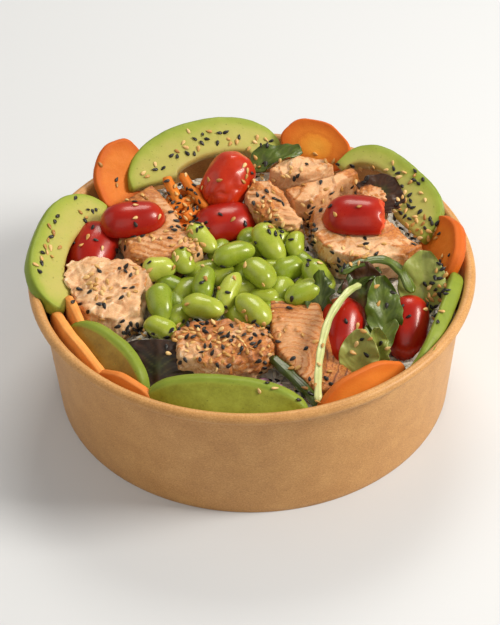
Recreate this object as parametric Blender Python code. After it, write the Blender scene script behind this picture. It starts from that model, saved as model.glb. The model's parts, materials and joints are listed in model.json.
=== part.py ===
"""Salmon rice bowl: a paper bowl filled with rice, salmon, soya beans and salad.

Lengths in the tables are millimetres and angles are degrees. +Z is up, the bowl
stands on Z = 0 with its axis on the origin, and -Y is the side nearest the eater.
"""

import math
import random

import bmesh
import bpy
from mathutils import Matrix, Vector, noise
from mathutils.bvhtree import BVHTree

MM = 0.001

# Paper bowl
RIM_RADIUS = 92.5
BOWL_HEIGHT = 61.0
WALL_TOP_RADIUS = 88.2
FOOT_RADIUS = 83.5
PAPER = 0.8
ROLL_RADIUS = 2.3
BASE_RECESS = 4.3
BASE_GAP = 0.4
BOWL_SIDES = 48
ROLL_SIDES = 6

# Gap left between two pieces that touch, and the share of a piece that a cut must leave
CONTACT_GAP = 0.4
LEAST_LEFT = 0.35
FLAT_ANGLE = math.radians(4.0)
MOST_SHELL = 2.5

# Rice
RICE_LEVEL = 46.0
RICE_SIDES = 32
RICE_RINGS = (11.0, 22.0, 33.0, 44.0, 54.0, 64.0, 73.0, 81.0)
RICE_REACH = 3.0
RICE_DROP = 1.0
GRAIN_SIZE = (6.2, 2.6, 2.4)
RICE_MOUNDS = (
    # x, y, rise above the level, spread, grains that show
    (-58, 14, 7, 8, 6),
    (-8, 22, 7, 8, 4),
    (-43, -33, 6, 8, 6),
    (25, 15, 9, 8, 6),
    (76, 0, 7, 7, 4),
    (-1, 44, 6, 7, 0),
    (40, -24, 3, 9, 0),
)

# Soya beans: x, y, z of the centre, turn, rise of the far end, length, width
BEANS = (
    (-7, 6, 61, 25, 0, 19, 11.5),
    (8, 13, 61, 120, 22, 20, 12.5),
    (3, -7, 61, -50, -8, 17, 12.5),
    (-20, -25, 59, -20, 0, 18, 12),
    (0, -26, 58, -50, -8, 19, 12),
    (-37, -20, 58, 97, 16, 18, 12),
    (-19, -11, 60, 80, 12, 17, 10),
    (-9, -15, 59, 68, 16, 19, 9.5),
    (21, -17, 58, 25, 6, 17, 12),
    (28, -5, 57, 122, 14, 19, 12),
    (-38, 0, 59, 10, 0, 15, 12),
    (-28, 4, 60, 105, 8, 14, 10),
    (-20, 17, 61, 125, 12, 18, 10),
    (19, 15, 58.5, 85, 10, 14, 9),
    (13, 22, 57, 60, 8, 14, 10),
    (15, 1, 56, 30, 0, 15, 12),
    (-27, -9, 54, 60, 0, 16, 11),
    (-37, -32, 54, -35, 0, 16, 11),
    (-29, -23, 53, 40, 0, 15, 11),
    (5, -15, 54, -10, 0, 15, 11),
    (12, -10, 54, 70, 0, 15, 12),
    (-33, -6, 54, -20, 0, 15, 11),
    (-12, 0, 54, 30, 0, 14, 10),
    (9, 3, 55, 0, 0, 14, 10),
    (-13, 15, 55, 70, 0, 14, 10),
    (-1, 23, 56, 80, 0, 13, 9),
    (-7, -24, 52.5, -60, 0, 16, 10),
    (15, 17, 53.5, 60, 0, 15, 11),
    (0, 14, 55, 20, 0, 14, 10),
    (22, -9, 53, 100, 0, 14, 10),
)
BEAN_DEPTH = 0.8
BEAN_CORE = ((-5, -3, 50), (36, 28, 8.2))
BEAN_SEGMENTS = 7
BEAN_RINGS = 4

# Tomatoes: centre of the cut face (or of the whole fruit), turn of the long axis,
# rise of its far end, roll about it, length, width, and True for a lengthwise half
TOMATOES = {
    "tomato_left": ((-67, 19, 52), 72, 16, -18, 30, 22, True),
    "tomato_on_salmon_left": ((-50, 27, 62.5), 12, 0, 0, 28, 18, True),
    "tomato_back": ((-9.5, 51, 64), 58, 28, 0, 28, 21, False),
    "tomato_middle": ((-11, 33, 53), 18, 0, -14, 28, 23, True),
    "tomato_on_salmon_right": ((45, 23, 63.5), -6, 0, -10, 29, 22, True),
    "tomato_front": ((36, -30, 48), 80, 32, 0, 30, 19, True),
    "tomato_right": ((63, -28, 48), 78, 32, 0, 28, 17, True),
}
TOMATO_SEGMENTS = 12
TOMATO_RINGS = 8

# Salmon: outline corners as seen from above, underside, top, slope of the top along
# x and y, and the seed of its unevenness
SALMON = {
    "salmon_left": (
        ((-80, -2), (-75, 4), (-63, 6), (-50, 4), (-41, -4), (-43, -14), (-45, -25), (-52, -32),
         (-63, -29), (-72, -20), (-77, -10)),
        44, 60.5, (0.0, 0.14), 1,
    ),
    "salmon_back_left": (
        ((-62, 35), (-56, 43), (-43, 52), (-38, 48), (-33, 36), (-27, 22), (-19, 8), (-26, 1),
         (-38, 3), (-51, 8), (-55, 20)),
        46, 62, (0.02, 0.06), 2,
    ),
    "salmon_middle": (
        ((-3, 42), (1, 49), (8, 48), (15, 42), (18, 32), (23, 24), (20, 20), (13, 21), (5, 27), (-1, 34)),
        49, 65, (0.0, 0.1), 3,
    ),
    "salmon_back": (
        ((8, 54), (13, 60), (21, 63), (32, 61), (37, 56), (32, 53), (22, 51), (13, 52)),
        51, 68, (0.0, 0.12), 4,
    ),
    "salmon_back_right": (
        ((15, 45), (22, 48), (33, 50), (45, 56), (48, 53), (40, 47), (33, 41), (25, 36), (19, 38)),
        49, 65, (0.06, 0.12), 5,
    ),
    "salmon_right": (
        ((25, 31), (31, 35), (41, 37), (53, 31), (60, 23), (67, 13), (73, 9), (66, 3), (58, 1),
         (46, 0), (34, 3), (28, 10), (25, 18)),
        48, 62.5, (-0.04, 0.06), 6,
    ),
    "salmon_small": (
        ((45, 41), (50, 46), (55, 48), (60, 43), (59, 35), (50, 34)),
        50, 66, (0.0, 0.08), 7,
    ),
    "salmon_front": (
        ((-33, -38), (-25, -33), (-16, -31), (-5, -33), (4, -37), (9, -43), (9, -50), (2, -55),
         (-9, -57), (-21, -56), (-30, -52)),
        44, 58, (0.0, 0.1), 8,
    ),
    "salmon_front_right": (
        ((6, -19), (18, -18), (28, -21), (30, -35), (32, -49), (40, -59), (32, -68), (23, -68),
         (16, -58), (10, -47), (7, -36)),
        41, 54.5, (0.0, 0.14), 9,
    ),
}
SALMON_LEVELS = ((0.0, 0.84), (0.55, 1.0), (1.0, 0.94), (1.05, 0.55))
SALMON_UNEVEN = 1.3
NOISE_SEED = 3

# Avocado slices: the two tips of the straight edge, the highest point of the round
# edge, thickness, outward bulge of the straight edge, fullness of the round edge,
# width at the tips, and the stone's hollow as depth, place and half width
AVOCADOS = {
    "avocado_left": ((-62, 44, 57), (-78, -23, 54), (-90.5, 10.5, 69), 6, 0, 2.6, 4, (8, 0.0, 0.6)),
    "avocado_back": ((-52, 55, 57), (15, 80, 59), (-12, 92, 70.5), 6, 0, 2.2, 4, (6, 0.1, 0.5)),
    "avocado_back_right": ((38, 64, 62), (73, 15, 56.5), (68, 55, 70.5), 6, 0, 2.8, 7, (11, -0.25, 0.56)),
    "avocado_right": ((82, -4, 53), (61, -60, 49), (77, -35, 61.5), 6.5, 4, 3.2, 6, (0, 0.0, 0.5)),
    "avocado_front": ((-43, -71, 50), (21, -81, 50), (-15, -70.5, 64), 5, 7, 2.4, 3, (0, 0.0, 0.5)),
    "avocado_front_left": ((-75, -30, 49), (-43, -67, 49), (-53, -46, 62.5), 5, 6, 2.4, 3, (0, 0.0, 0.5)),
}
AVOCADO_STATIONS = 12

# Carrot slices: centre, facing, lean, roll, length, width, thickness, curl
CARROTS = {
    "carrot_back_left": ((-57, 60.5, 62), 133, 52, 48, 33, 24, 3, 1.5),
    "carrot_back": ((30, 76, 63.5), 68, 46, -10, 33, 23, 2.6, 2.5),
    "carrot_right": ((80.5, 9, 58), 6, 60, 8, 36, 26, 5.5, 1.5),
    "carrot_front_right": ((44, -69, 51.5), 303, 112, 0, 42, 21, 3.4, 4),
    "carrot_left": ((-73.5, -41, 51.5), 209, 98, 0, 46, 20, 3.4, 4),
    "carrot_left_inner": ((-73, -25, 53), 200, 96, 0, 26, 18, 3.2, 1.5),
    "carrot_front_left": ((-51, -66.5, 51), 233, 98, 0, 30, 18, 3.2, 2),
}
CARROT_SIDES = 14

# Leaves: foot, facing, lean, roll, length, width, height of the waves, fold, curl
LEAVES = {
    "red_leaf_right": ((50, 33, 59.5), 48, 30, 0, 19, 23, 0.8, 0.1, 1),
    "red_leaf_front": ((-38.5, -60, 46), 86, 30, 0, 21, 38, 1.2, -0.12, 2),
    "spinach_back": ((-2, 63, 60), 5, 28, 0, 27, 15, 1.5, 0.4, -3),
    "spinach_right": ((54, -37, 47), 96, 40, 0, 28, 15, 1.6, 0.35, 2),
    "spinach_low": ((47, -44, 47), 62, 20, 0, 22, 13, 1.2, 0.2, 1),
    "spinach_far_right": ((68, -20, 47), 78, 46, 0, 27, 20, 1.4, 0.25, 3),
    "brown_leaf": ((45, -20, 46), 85, 50, 0, 24, 18, 1.6, 0.2, 2),
    "folded_leaf": ((35, -15, 56.5), 22, 14, 0, 20, 8, 0.8, 0.3, 0.5),
    "round_leaf": ((41, -57, 46), 80, 62, 0, 22, 16, 1.0, 0.2, 2),
    "small_leaf": ((50, -50, 45), 96, 58, 0, 18, 9, 1.2, 0.3, 2),
    "rocket_leaf": ((27, -30, 50), 85, 38, 0, 24, 10, 1.6, 0.3, 2),
}
LEAF_THICKNESS = 0.7
LEAF_ROWS = 5
LEAF_COLUMNS = 4

# Stems: points of the centre line, and the radius
STEMS = {
    "pale_stem": (((44, -17, 62.5), (38, -24, 64), (31, -36, 62.5), (27, -50, 60), (25, -64, 57.5), (24.5, -76, 54)), 1.5),
    "green_stem": (((36, -10, 63), (44, -6, 64.5), (54, -4, 64.5), (61, -9, 62.5), (65, -20, 60)), 1.8),
    "front_stem": (((7, -49, 53), (15, -59, 51.5), (23, -69, 49), (27, -75, 47)), 2.3),
}
STEM_STATIONS = 9

# Carrot sticks: middle, turn, rise, length
STICKS = (
    (-33, 48, 62, 105, 10, 17),
    (-24, 47, 63, 118, 14, 20),
    (-30, 41, 60, 30, 4, 15),
    (-24, 37, 59, 60, -6, 14),
    (-31, 36, 57, 140, 0, 13),
    (-26, 31, 57, 10, 0, 12),
    (-36, 43, 57, 75, 0, 15),
    (-28, 52, 58, 20, 0, 16),
)
STICK_SIDE = 4.6
STICK_CORE = ((-29, 42, 54), (9, 13, 5))

# Red cabbage: middle, turn, rise, length
SHREDS = (
    (-2, -61, 48, 8, 2, 20),
    (3, -62, 49.5, -14, 4, 16),
    (0, -59, 46.8, 40, 0, 14),
)
SHRED_SIZE = (2.0, 3.4)

# Sesame: x, y, spread and number of the seeds that each patch gets
SEED_SIZE = (3.3, 2.0, 1.3)
SEED_PATCHES = (
    (-10, -42, 12, 12),
    (8, 40, 10, 6),
    (73, 22, 6, 7),
    (-22, 80, 14, 5),
    (14, 84, 5, 3),
    (62, 62, 9, 5),
    (-84, 18, 9, 6),
    (-38, 20, 12, 6),
    (50, 4, 12, 5),
    (-60, -8, 12, 5),
    (22, 60, 9, 3),
    (18, -36, 9, 4),
    (-5, -5, 22, 6),
)
SEED_CLEARANCE = 2.4
SEED_SINK = 0.25

COLOURS = {
    "paper": ((0.72, 0.50, 0.30), 0.75),
    "rice": ((0.88, 0.85, 0.82), 0.5),
    "bean": ((0.42, 0.60, 0.10), 0.3),
    "tomato": ((0.62, 0.04, 0.02), 0.2),
    "salmon": ((0.86, 0.52, 0.34), 0.5),
    "avocado": ((0.62, 0.66, 0.22), 0.45),
    "carrot": ((0.85, 0.30, 0.03), 0.45),
    "green_leaf": ((0.12, 0.28, 0.05), 0.45),
    "red_leaf": ((0.10, 0.03, 0.03), 0.4),
    "stem": ((0.45, 0.55, 0.20), 0.4),
    "cabbage": ((0.20, 0.03, 0.25), 0.4),
}


def material(kind):
    """The shared material of one kind of piece."""
    made = bpy.data.materials.get(kind)
    if made is None:
        colour, roughness = COLOURS[kind]
        made = bpy.data.materials.new(kind)
        made.use_nodes = True
        shader = made.node_tree.nodes["Principled BSDF"]
        shader.inputs["Base Color"].default_value = (*colour, 1.0)
        shader.inputs["Roughness"].default_value = roughness
        shader.inputs["Metallic"].default_value = 0.0
    return made


def object_from(name, bm, kind, matrix=None):
    """Turns a bmesh, drawn in millimetres, into a linked object in metres."""
    bmesh.ops.scale(bm, vec=(MM, MM, MM), verts=bm.verts)
    bmesh.ops.recalc_face_normals(bm, faces=bm.faces)
    mesh = bpy.data.meshes.new(name)
    bm.to_mesh(mesh)
    bm.free()
    mesh.materials.append(material(kind))
    mesh.shade_smooth()
    obj = bpy.data.objects.new(name, mesh)
    bpy.context.scene.collection.objects.link(obj)
    if matrix is not None:
        obj.matrix_world = matrix
    bpy.context.view_layer.update()
    return obj


def standing(at, facing, lean, roll=0.0):
    """A flat piece's frame: its Y leans up towards the compass angle, its Z is its face."""
    return (
        Matrix.Translation(Vector(at) * MM)
        @ Matrix.Rotation(math.radians(facing - 90), 4, "Z")
        @ Matrix.Rotation(math.radians(lean), 4, "X")
        @ Matrix.Rotation(math.radians(roll), 4, "Z")
    )


def lying(at, turn, rise=0.0, roll=0.0):
    """A long piece's frame: its X points along the turn and rises by an angle."""
    return (
        Matrix.Translation(Vector(at) * MM)
        @ Matrix.Rotation(math.radians(turn), 4, "Z")
        @ Matrix.Rotation(math.radians(-rise), 4, "Y")
        @ Matrix.Rotation(math.radians(roll), 4, "X")
    )


def in_order(mesh):
    """Numbers a mesh's points and faces by where they are.

    A Boolean gives the same points each time, but not in the same order nor to the
    last digit, and the cuts that follow would then differ from one run to the next.
    """
    places = [tuple(round(c, 7) for c in vert.co) for vert in mesh.vertices]
    ranks = sorted(range(len(places)), key=places.__getitem__)
    number = {old: new for new, old in enumerate(ranks)}
    faces = []
    for face in mesh.polygons:
        corners = [number[index] for index in face.vertices]
        first = corners.index(min(corners))
        faces.append(corners[first:] + corners[:first])
    mesh.clear_geometry()
    mesh.from_pydata([places[rank] for rank in ranks], [], sorted(faces))


def bake(obj):
    """Replaces the object's mesh by what its modifiers make of it."""
    graph = bpy.context.evaluated_depsgraph_get()
    mesh = bpy.data.meshes.new_from_object(obj.evaluated_get(graph))
    in_order(mesh)
    obj.modifiers.clear()
    old = obj.data
    obj.data = mesh
    bpy.data.meshes.remove(old)
    bpy.context.view_layer.update()


def keep_largest(obj):
    """Drops every loose scrap that a Boolean leaves beside the main body."""
    bm = bmesh.new()
    bm.from_mesh(obj.data)
    bmesh.ops.remove_doubles(bm, verts=bm.verts, dist=2e-6)
    waiting = set(bm.verts)
    islands = []
    while waiting:
        island, edge_of_search = set(), [waiting.pop()]
        while edge_of_search:
            vert = edge_of_search.pop()
            island.add(vert)
            near = {e.other_vert(vert) for e in vert.link_edges} & waiting
            waiting -= near
            edge_of_search.extend(near)
        islands.append(island)
    islands.sort(key=island_size, reverse=True)
    loose = [v for island in islands[1:] for v in island]
    bmesh.ops.delete(bm, geom=loose, context="VERTS")
    bmesh.ops.dissolve_limit(bm, angle_limit=FLAT_ANGLE, verts=bm.verts, edges=bm.edges)
    bmesh.ops.triangulate(bm, faces=bm.faces)
    bm.to_mesh(obj.data)
    bm.free()


def island_size(island):
    """The diagonal of the box round some vertices."""
    spans = [[v.co[axis] for v in island] for axis in range(3)]
    return math.hypot(*(max(span) - min(span) for span in spans))


def volume(obj):
    """The object's volume in cubic metres, or 0 if its mesh isn't closed."""
    bm = bmesh.new()
    bm.from_mesh(obj.data)
    closed = all(e.is_manifold for e in bm.edges)
    found = bm.calc_volume(signed=True) if closed else 0.0
    bm.free()
    return found


def boolean(obj, operation, other):
    """Applies one Boolean to the object; other is an object or a collection."""
    before = obj.data.copy()
    least = volume(obj) * LEAST_LEFT
    for solver in ("EXACT", "MANIFOLD"):
        modifier = obj.modifiers.new(operation.title(), "BOOLEAN")
        modifier.operation = operation
        modifier.solver = solver
        if isinstance(other, bpy.types.Collection):
            modifier.operand_type = "COLLECTION"
            modifier.collection = other
        else:
            modifier.object = other
        bake(obj)
        keep_largest(obj)
        if volume(obj) > least:
            return
        obj.data = before.copy()


def fuse(obj, pieces):
    """Joins the pieces to the object with one union and removes them."""
    gathered = bpy.data.collections.new("gathered")
    bpy.context.scene.collection.children.link(gathered)
    for piece in pieces:
        bpy.context.scene.collection.objects.unlink(piece)
        gathered.objects.link(piece)
    bpy.context.view_layer.update()
    boolean(obj, "UNION", gathered)
    for piece in pieces:
        bpy.data.objects.remove(piece)
    bpy.data.collections.remove(gathered)


def grown(obj, by):
    """A copy of the object, larger by a distance all round, to cut with."""
    bm = bmesh.new()
    bm.from_mesh(obj.data)
    bm.normal_update()
    moves = [v.normal * min(v.calc_shell_factor(), MOST_SHELL) for v in bm.verts]
    for vert, move in zip(bm.verts, moves):
        vert.co += move * by * MM
    mesh = bpy.data.meshes.new("cutter")
    bm.to_mesh(mesh)
    bm.free()
    copy = bpy.data.objects.new("cutter", mesh)
    bpy.context.scene.collection.objects.link(copy)
    copy.matrix_world = obj.matrix_world
    copy.hide_render = True
    copy.display_type = "WIRE"
    bpy.context.view_layer.update()
    return copy


def world_tree(obj):
    """A search tree of the object's faces in world space."""
    points = [obj.matrix_world @ v.co for v in obj.data.vertices]
    faces = [tuple(p.vertices) for p in obj.data.polygons]
    return BVHTree.FromPolygons(points, faces)


def make_room(pieces, only=None):
    """Cuts each piece back, with a gap, where one that comes before it lies."""
    for place, soft in enumerate(pieces):
        if only not in (None, soft):
            continue
        for firm in pieces[:place]:
            cutter = grown(firm, CONTACT_GAP)
            if world_tree(cutter).overlap(world_tree(soft)):
                boolean(soft, "DIFFERENCE", cutter)
            bpy.data.meshes.remove(cutter.data)


def wall_radius(z, outside=True):
    """The bowl wall's radius at a height."""
    share = z / (BOWL_HEIGHT - ROLL_RADIUS)
    radius = FOOT_RADIUS + (WALL_TOP_RADIUS - FOOT_RADIUS) * share
    return radius if outside else radius - PAPER


def spun(name, profile, kind, sides, closed):
    """A body turned from a profile of (radius, height) points round the Z axis."""
    bm = bmesh.new()
    verts = [bm.verts.new((r, 0, z)) for r, z in profile]
    edges = [bm.edges.new(pair) for pair in zip(verts, verts[1:])]
    if closed:
        edges.append(bm.edges.new((verts[-1], verts[0])))
    bmesh.ops.spin(
        bm, geom=verts + edges, cent=(0, 0, 0), axis=(0, 0, 1),
        angle=math.tau, steps=sides, use_merge=True,
    )
    bmesh.ops.remove_doubles(bm, verts=bm.verts, dist=0.01)
    return object_from(name, bm, kind)


def bowl_wall():
    """The tapered wall with its rolled rim and the hem that it stands on."""
    centre = Vector((RIM_RADIUS - ROLL_RADIUS, BOWL_HEIGHT - ROLL_RADIUS))
    angles = [math.radians(-120 + 300 * k / ROLL_SIDES) for k in range(ROLL_SIDES + 1)]
    roll = [tuple(centre + ROLL_RADIUS * Vector((math.cos(a), math.sin(a)))) for a in angles]
    throat = BOWL_HEIGHT - 2 * ROLL_RADIUS
    profile = [
        (wall_radius(0), 0),
        (wall_radius(throat), throat),
        *roll,
        (wall_radius(throat, outside=False), throat),
        (wall_radius(0, outside=False), 0),
    ]
    return spun("bowl_wall", profile, "paper", BOWL_SIDES, closed=True)


def bowl_base():
    """The bottom disc with its flange turned down inside the wall."""
    outer = wall_radius(0, outside=False) - BASE_GAP
    inner = outer - PAPER
    top = BASE_RECESS + PAPER
    profile = [(0, top), (outer, top), (outer, 0.5), (inner, 0.5), (inner, BASE_RECESS), (0, BASE_RECESS)]
    return spun("bowl_base", profile, "paper", BOWL_SIDES, closed=False)


def rice_rise(x, y):
    """How far the rice stands above its level at a place."""
    rise = 0.8 * noise.noise(Vector((x, y, 0)) * 0.09)
    for mx, my, height, spread, _ in RICE_MOUNDS:
        rise += height * math.exp(-((x - mx) ** 2 + (y - my) ** 2) / (2 * spread**2))
    return rise


def lowest_above(trees, x, y, reach):
    """The lowest underside over a place and near it, or infinity."""
    found = [math.inf]
    for dx in (-reach, 0, reach):
        for dy in (-reach, 0, reach):
            start = Vector((x + dx, y + dy, 0)) * MM
            for tree in trees:
                hit = tree.ray_cast(start, Vector((0, 0, 1)))[0]
                if hit is not None:
                    found.append(hit.z / MM)
    return min(found)


def rice(toppings):
    """A bed of rice that follows the wall and sinks under what lies on it."""
    trees = [world_tree(piece) for piece in toppings]
    floor = BASE_RECESS + PAPER + CONTACT_GAP
    edge = wall_radius(RICE_LEVEL, outside=False) - 2 * CONTACT_GAP
    profile = [(0, floor), (wall_radius(floor, outside=False) - 2 * CONTACT_GAP, floor), (edge, RICE_LEVEL - 2)]
    profile += [(r, RICE_LEVEL) for r in reversed(RICE_RINGS)] + [(0, RICE_LEVEL)]
    bed = spun("rice", profile, "rice", RICE_SIDES, closed=False)
    for vert in bed.data.vertices:
        if vert.co.z > (RICE_LEVEL - 3) * MM:
            x, y = vert.co.x / MM, vert.co.y / MM
            level = vert.co.z / MM + rice_rise(x, y)
            vert.co.z = min(level, lowest_above(trees, x, y, RICE_REACH) - RICE_DROP) * MM
    return bed


def grains_for(bed, others):
    """Rice grains lying on the bed in the gaps between the other pieces."""
    draw = random.Random(5)
    tree = world_tree(bed)
    blocked = [world_tree(o) for o in others]
    grains = []
    for mx, my, _, spread, count in RICE_MOUNDS:
        for _ in range(count):
            x, y = mx + draw.gauss(0, spread * 0.45), my + draw.gauss(0, spread * 0.45)
            turn, tip = draw.uniform(0, 180), draw.uniform(-12, 12)
            hit = tree.ray_cast(Vector((x, y, 80)) * MM, Vector((0, 0, -1)))[0]
            if hit is None or not clear_of(hit, blocked, 3.4):
                continue
            grain = ellipsoid("grain", GRAIN_SIZE, "rice", lying(hit / MM + Vector((0, 0, 0.5)), turn, tip))
            grains.append(grain)
    return grains


def clear_of(point, trees, distance):
    """True if no tree comes within a distance, in millimetres, of the point."""
    return all(tree.find_nearest(point, distance * MM)[0] is None for tree in trees)


def ellipsoid(name, size, kind, matrix, segments=0, rings=0):
    """A rounded grain, bean or fruit of a length, width and height."""
    bm = bmesh.new()
    if segments:
        bmesh.ops.create_uvsphere(bm, u_segments=segments, v_segments=rings, radius=0.5)
        bmesh.ops.rotate(bm, verts=bm.verts, matrix=Matrix.Rotation(math.pi / 2, 3, "Y"))
    else:
        bmesh.ops.create_icosphere(bm, subdivisions=1, radius=0.5)
    bmesh.ops.scale(bm, vec=size, verts=bm.verts)
    return object_from(name, bm, kind, matrix)


def bean(number, x, y, z, turn, rise, length, width):
    """One soya bean, flatter on the side where it joined the pod."""
    size = (length, width, width * BEAN_DEPTH)
    made = ellipsoid(f"bean_{number}", size, "bean", lying((x, y, z), turn, rise), BEAN_SEGMENTS, BEAN_RINGS)
    for vert in made.data.vertices:
        if vert.co.y < 0:
            vert.co.y *= 0.85
    return made


def edamame():
    """The heap of soya beans, fused over a low core."""
    centre, radii = BEAN_CORE
    core = ellipsoid("edamame", [2 * r for r in radii], "bean", lying(centre, 0), 12, 6)
    fuse(core, [bean(number, *row) for number, row in enumerate(BEANS)])
    return core


def tomato(name, at, turn, rise, roll, length, width, halved):
    """A plum cherry tomato, whole or as a lengthwise half on its cut face."""
    bm = bmesh.new()
    bmesh.ops.create_uvsphere(bm, u_segments=TOMATO_SEGMENTS, v_segments=TOMATO_RINGS, radius=0.5)
    bmesh.ops.rotate(bm, verts=bm.verts, matrix=Matrix.Rotation(math.pi / 2, 3, "Y"))
    for vert in bm.verts:
        vert.co *= 1 + 0.25 * abs(vert.co.x) * (1 - 2 * abs(vert.co.x))
    bmesh.ops.scale(bm, vec=(length, width, width), verts=bm.verts)
    if halved:
        cut = bmesh.ops.bisect_plane(
            bm, geom=bm.verts[:] + bm.edges[:] + bm.faces[:], dist=0.001,
            plane_co=(0, 0, -0.8), plane_no=(0, 0, -1), clear_outer=True,
        )
        rim = [e for e in cut["geom_cut"] if isinstance(e, bmesh.types.BMEdge)]
        bmesh.ops.edgeloop_fill(bm, edges=rim)
    return object_from(name, bm, "tomato", lying(at, turn, rise, roll))


def salmon(name, outline, bottom, top, slope, seed):
    """A flaked chunk of fish: an uneven block on its outline."""
    corners = [Vector((*corner, 0)) for corner in outline]
    middle = sum(corners, Vector()) / len(corners)
    depth = top - bottom
    bm = bmesh.new()
    loops = []
    for share, scale in SALMON_LEVELS:
        loop = []
        for corner in corners:
            point = (corner - middle) * scale
            point.z = (share - 0.5) * depth
            point.z += share * (slope[0] * point.x + slope[1] * point.y)
            point += SALMON_UNEVEN * noise.noise_vector(point * 0.13 + Vector((seed * 9, 0, 0)))
            loop.append(bm.verts.new(point))
        loops.append(loop)
    for low, high in zip(loops, loops[1:]):
        for k in range(len(corners)):
            after = (k + 1) % len(corners)
            bm.faces.new((low[k], low[after], high[after], high[k]))
    bm.faces.new(loops[0][::-1])
    bm.faces.new(loops[-1])
    middle.z = (bottom + top) / 2
    return object_from(name, bm, "salmon", lying(middle, 0))


def slice_frame(start, end, crown):
    """The frame of a slice: X along its straight edge, Y up to its crown, Z inwards."""
    start, end, crown = (Vector(point) for point in (start, end, crown))
    along = (end - start).normalized()
    middle = (start + end) / 2
    up = crown - middle
    up -= up.dot(along) * along
    normal = along.cross(up.normalized())
    if normal.dot(Vector((-middle.x, -middle.y, 0))) < 0:
        along = -along
        normal = -normal
    frame = Matrix((along, up.normalized(), normal)).transposed().to_4x4()
    frame.translation = middle * MM
    return frame, (end - start).length, up.length


def avocado(name, start, end, crown, thickness, bulge, fullness, tip, stone):
    """A slice of avocado: a half-moon with the stone's hollow in its straight edge."""
    frame, length, width = slice_frame(start, end, crown)
    towards = 1 if frame.to_3x3().col[0].dot(Vector(end) - Vector(start)) > 0 else -1
    depth, place, reach = stone
    across = 2
    bm = bmesh.new()
    grid = []
    for k in range(AVOCADO_STATIONS):
        share = math.sin(math.pi * (k / (AVOCADO_STATIONS - 1) - 0.5))
        x = share * (length / 2)
        outer = max(tip, width * (1 - abs(share) ** fullness) ** (1 / fullness))
        inner = depth * math.sqrt(max(0.0, 1 - ((share * towards - place) / reach) ** 2))
        row = []
        for j in range(across + 1):
            y = inner + (outer - inner) * j / across
            z = -bulge * (1 - share**2) * (1 - y / width)
            row.append(bm.verts.new((x, y, z)))
        grid.append(row)
    fill_grid(bm, grid)
    piece = object_from(name, bm, "avocado", frame)
    thicken(piece, thickness)
    return piece


def fill_grid(bm, grid):
    """Faces between the rows of a grid of vertices, split alike all over."""
    for row, after in zip(grid, grid[1:]):
        for j in range(len(row) - 1):
            bm.faces.new((row[j], after[j], after[j + 1]))
            bm.faces.new((row[j], after[j + 1], row[j + 1]))


def thicken(obj, thickness):
    """Gives a surface an even thickness, half on each side."""
    modifier = obj.modifiers.new("Thickness", "SOLIDIFY")
    modifier.thickness = thickness * MM
    modifier.offset = 0.0
    bake(obj)


def carrot(name, at, facing, lean, roll, length, width, thickness, curl):
    """A slice of carrot cut on the slant, a little cupped."""
    bm = bmesh.new()
    rings = [[bm.verts.new((0, 0, 0))]]
    for share in (0.55, 1.0):
        ring = []
        for k in range(CARROT_SIDES):
            angle = math.tau * k / CARROT_SIDES
            x = share * length / 2 * math.cos(angle)
            y = share * width / 2 * math.sin(angle)
            ring.append(bm.verts.new((x, y, curl * (2 * x / length) ** 2)))
        rings.append(ring)
    hub, inner, outer = rings[0][0], rings[1], rings[2]
    for k in range(CARROT_SIDES):
        after = (k + 1) % CARROT_SIDES
        bm.faces.new((hub, inner[k], inner[after]))
        bm.faces.new((inner[k], outer[k], outer[after], inner[after]))
    piece = object_from(name, bm, "carrot", standing(at, facing, lean, roll))
    thicken(piece, thickness)
    return piece


def leaf(name, at, facing, lean, roll, length, width, wave, fold, curl):
    """A thin wavy leaf that grows from its foot along its own Y."""
    bm = bmesh.new()
    seed = sum(map(ord, name))
    grid = []
    for k in range(LEAF_ROWS + 1):
        v = k / LEAF_ROWS
        half = max(1.2, width / 2 * math.sin(math.pi * (0.06 + 0.9 * v)) ** 0.75)
        row = []
        for j in range(LEAF_COLUMNS + 1):
            side = 2 * j / LEAF_COLUMNS - 1
            x = half * side
            z = fold * abs(x) + curl * v * v
            z += wave * side * side * math.sin(seed + 9 * v + 2 * side)
            row.append(bm.verts.new((x, length * v, z)))
        grid.append(row)
    fill_grid(bm, grid)
    kind = "red_leaf" if name.startswith(("red", "brown")) else "green_leaf"
    piece = object_from(name, bm, kind, standing(at, facing, lean, roll))
    thicken(piece, LEAF_THICKNESS)
    return piece


def smooth_path(points, count):
    """Evenly numbered points on a smooth curve through the given ones."""
    points = [Vector(p) for p in points]
    ends = [2 * points[0] - points[1], *points, 2 * points[-1] - points[-2]]
    path = []
    for k in range(count):
        along = k / (count - 1) * (len(points) - 1)
        span = min(int(along), len(points) - 2)
        t = along - span
        a, b, c, d = ends[span : span + 4]
        path.append(
            0.5 * (2 * b + (c - a) * t + (2 * a - 5 * b + 4 * c - d) * t**2 + (3 * b - a - 3 * c + d) * t**3)
        )
    return path


def stem(name, points, radius):
    """A leaf stalk: a round bead along its curve."""
    curve = bpy.data.curves.new(name, "CURVE")
    curve.dimensions = "3D"
    curve.bevel_depth = radius * MM
    curve.bevel_resolution = 1
    curve.use_fill_caps = True
    spline = curve.splines.new("POLY")
    spline.points.add(STEM_STATIONS - 1)
    for point, place in zip(spline.points, smooth_path(points, STEM_STATIONS)):
        point.co = (*(place * MM), 1)
    curve.materials.append(material("stem"))
    drawn = bpy.data.objects.new(name + "_line", curve)
    bpy.context.scene.collection.objects.link(drawn)
    bpy.context.view_layer.update()
    graph = bpy.context.evaluated_depsgraph_get()
    mesh = bpy.data.meshes.new_from_object(drawn.evaluated_get(graph))
    bpy.data.objects.remove(drawn)
    made = bpy.data.objects.new(name, mesh)
    bpy.context.scene.collection.objects.link(made)
    keep_largest(made)
    bpy.context.view_layer.update()
    return made


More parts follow.
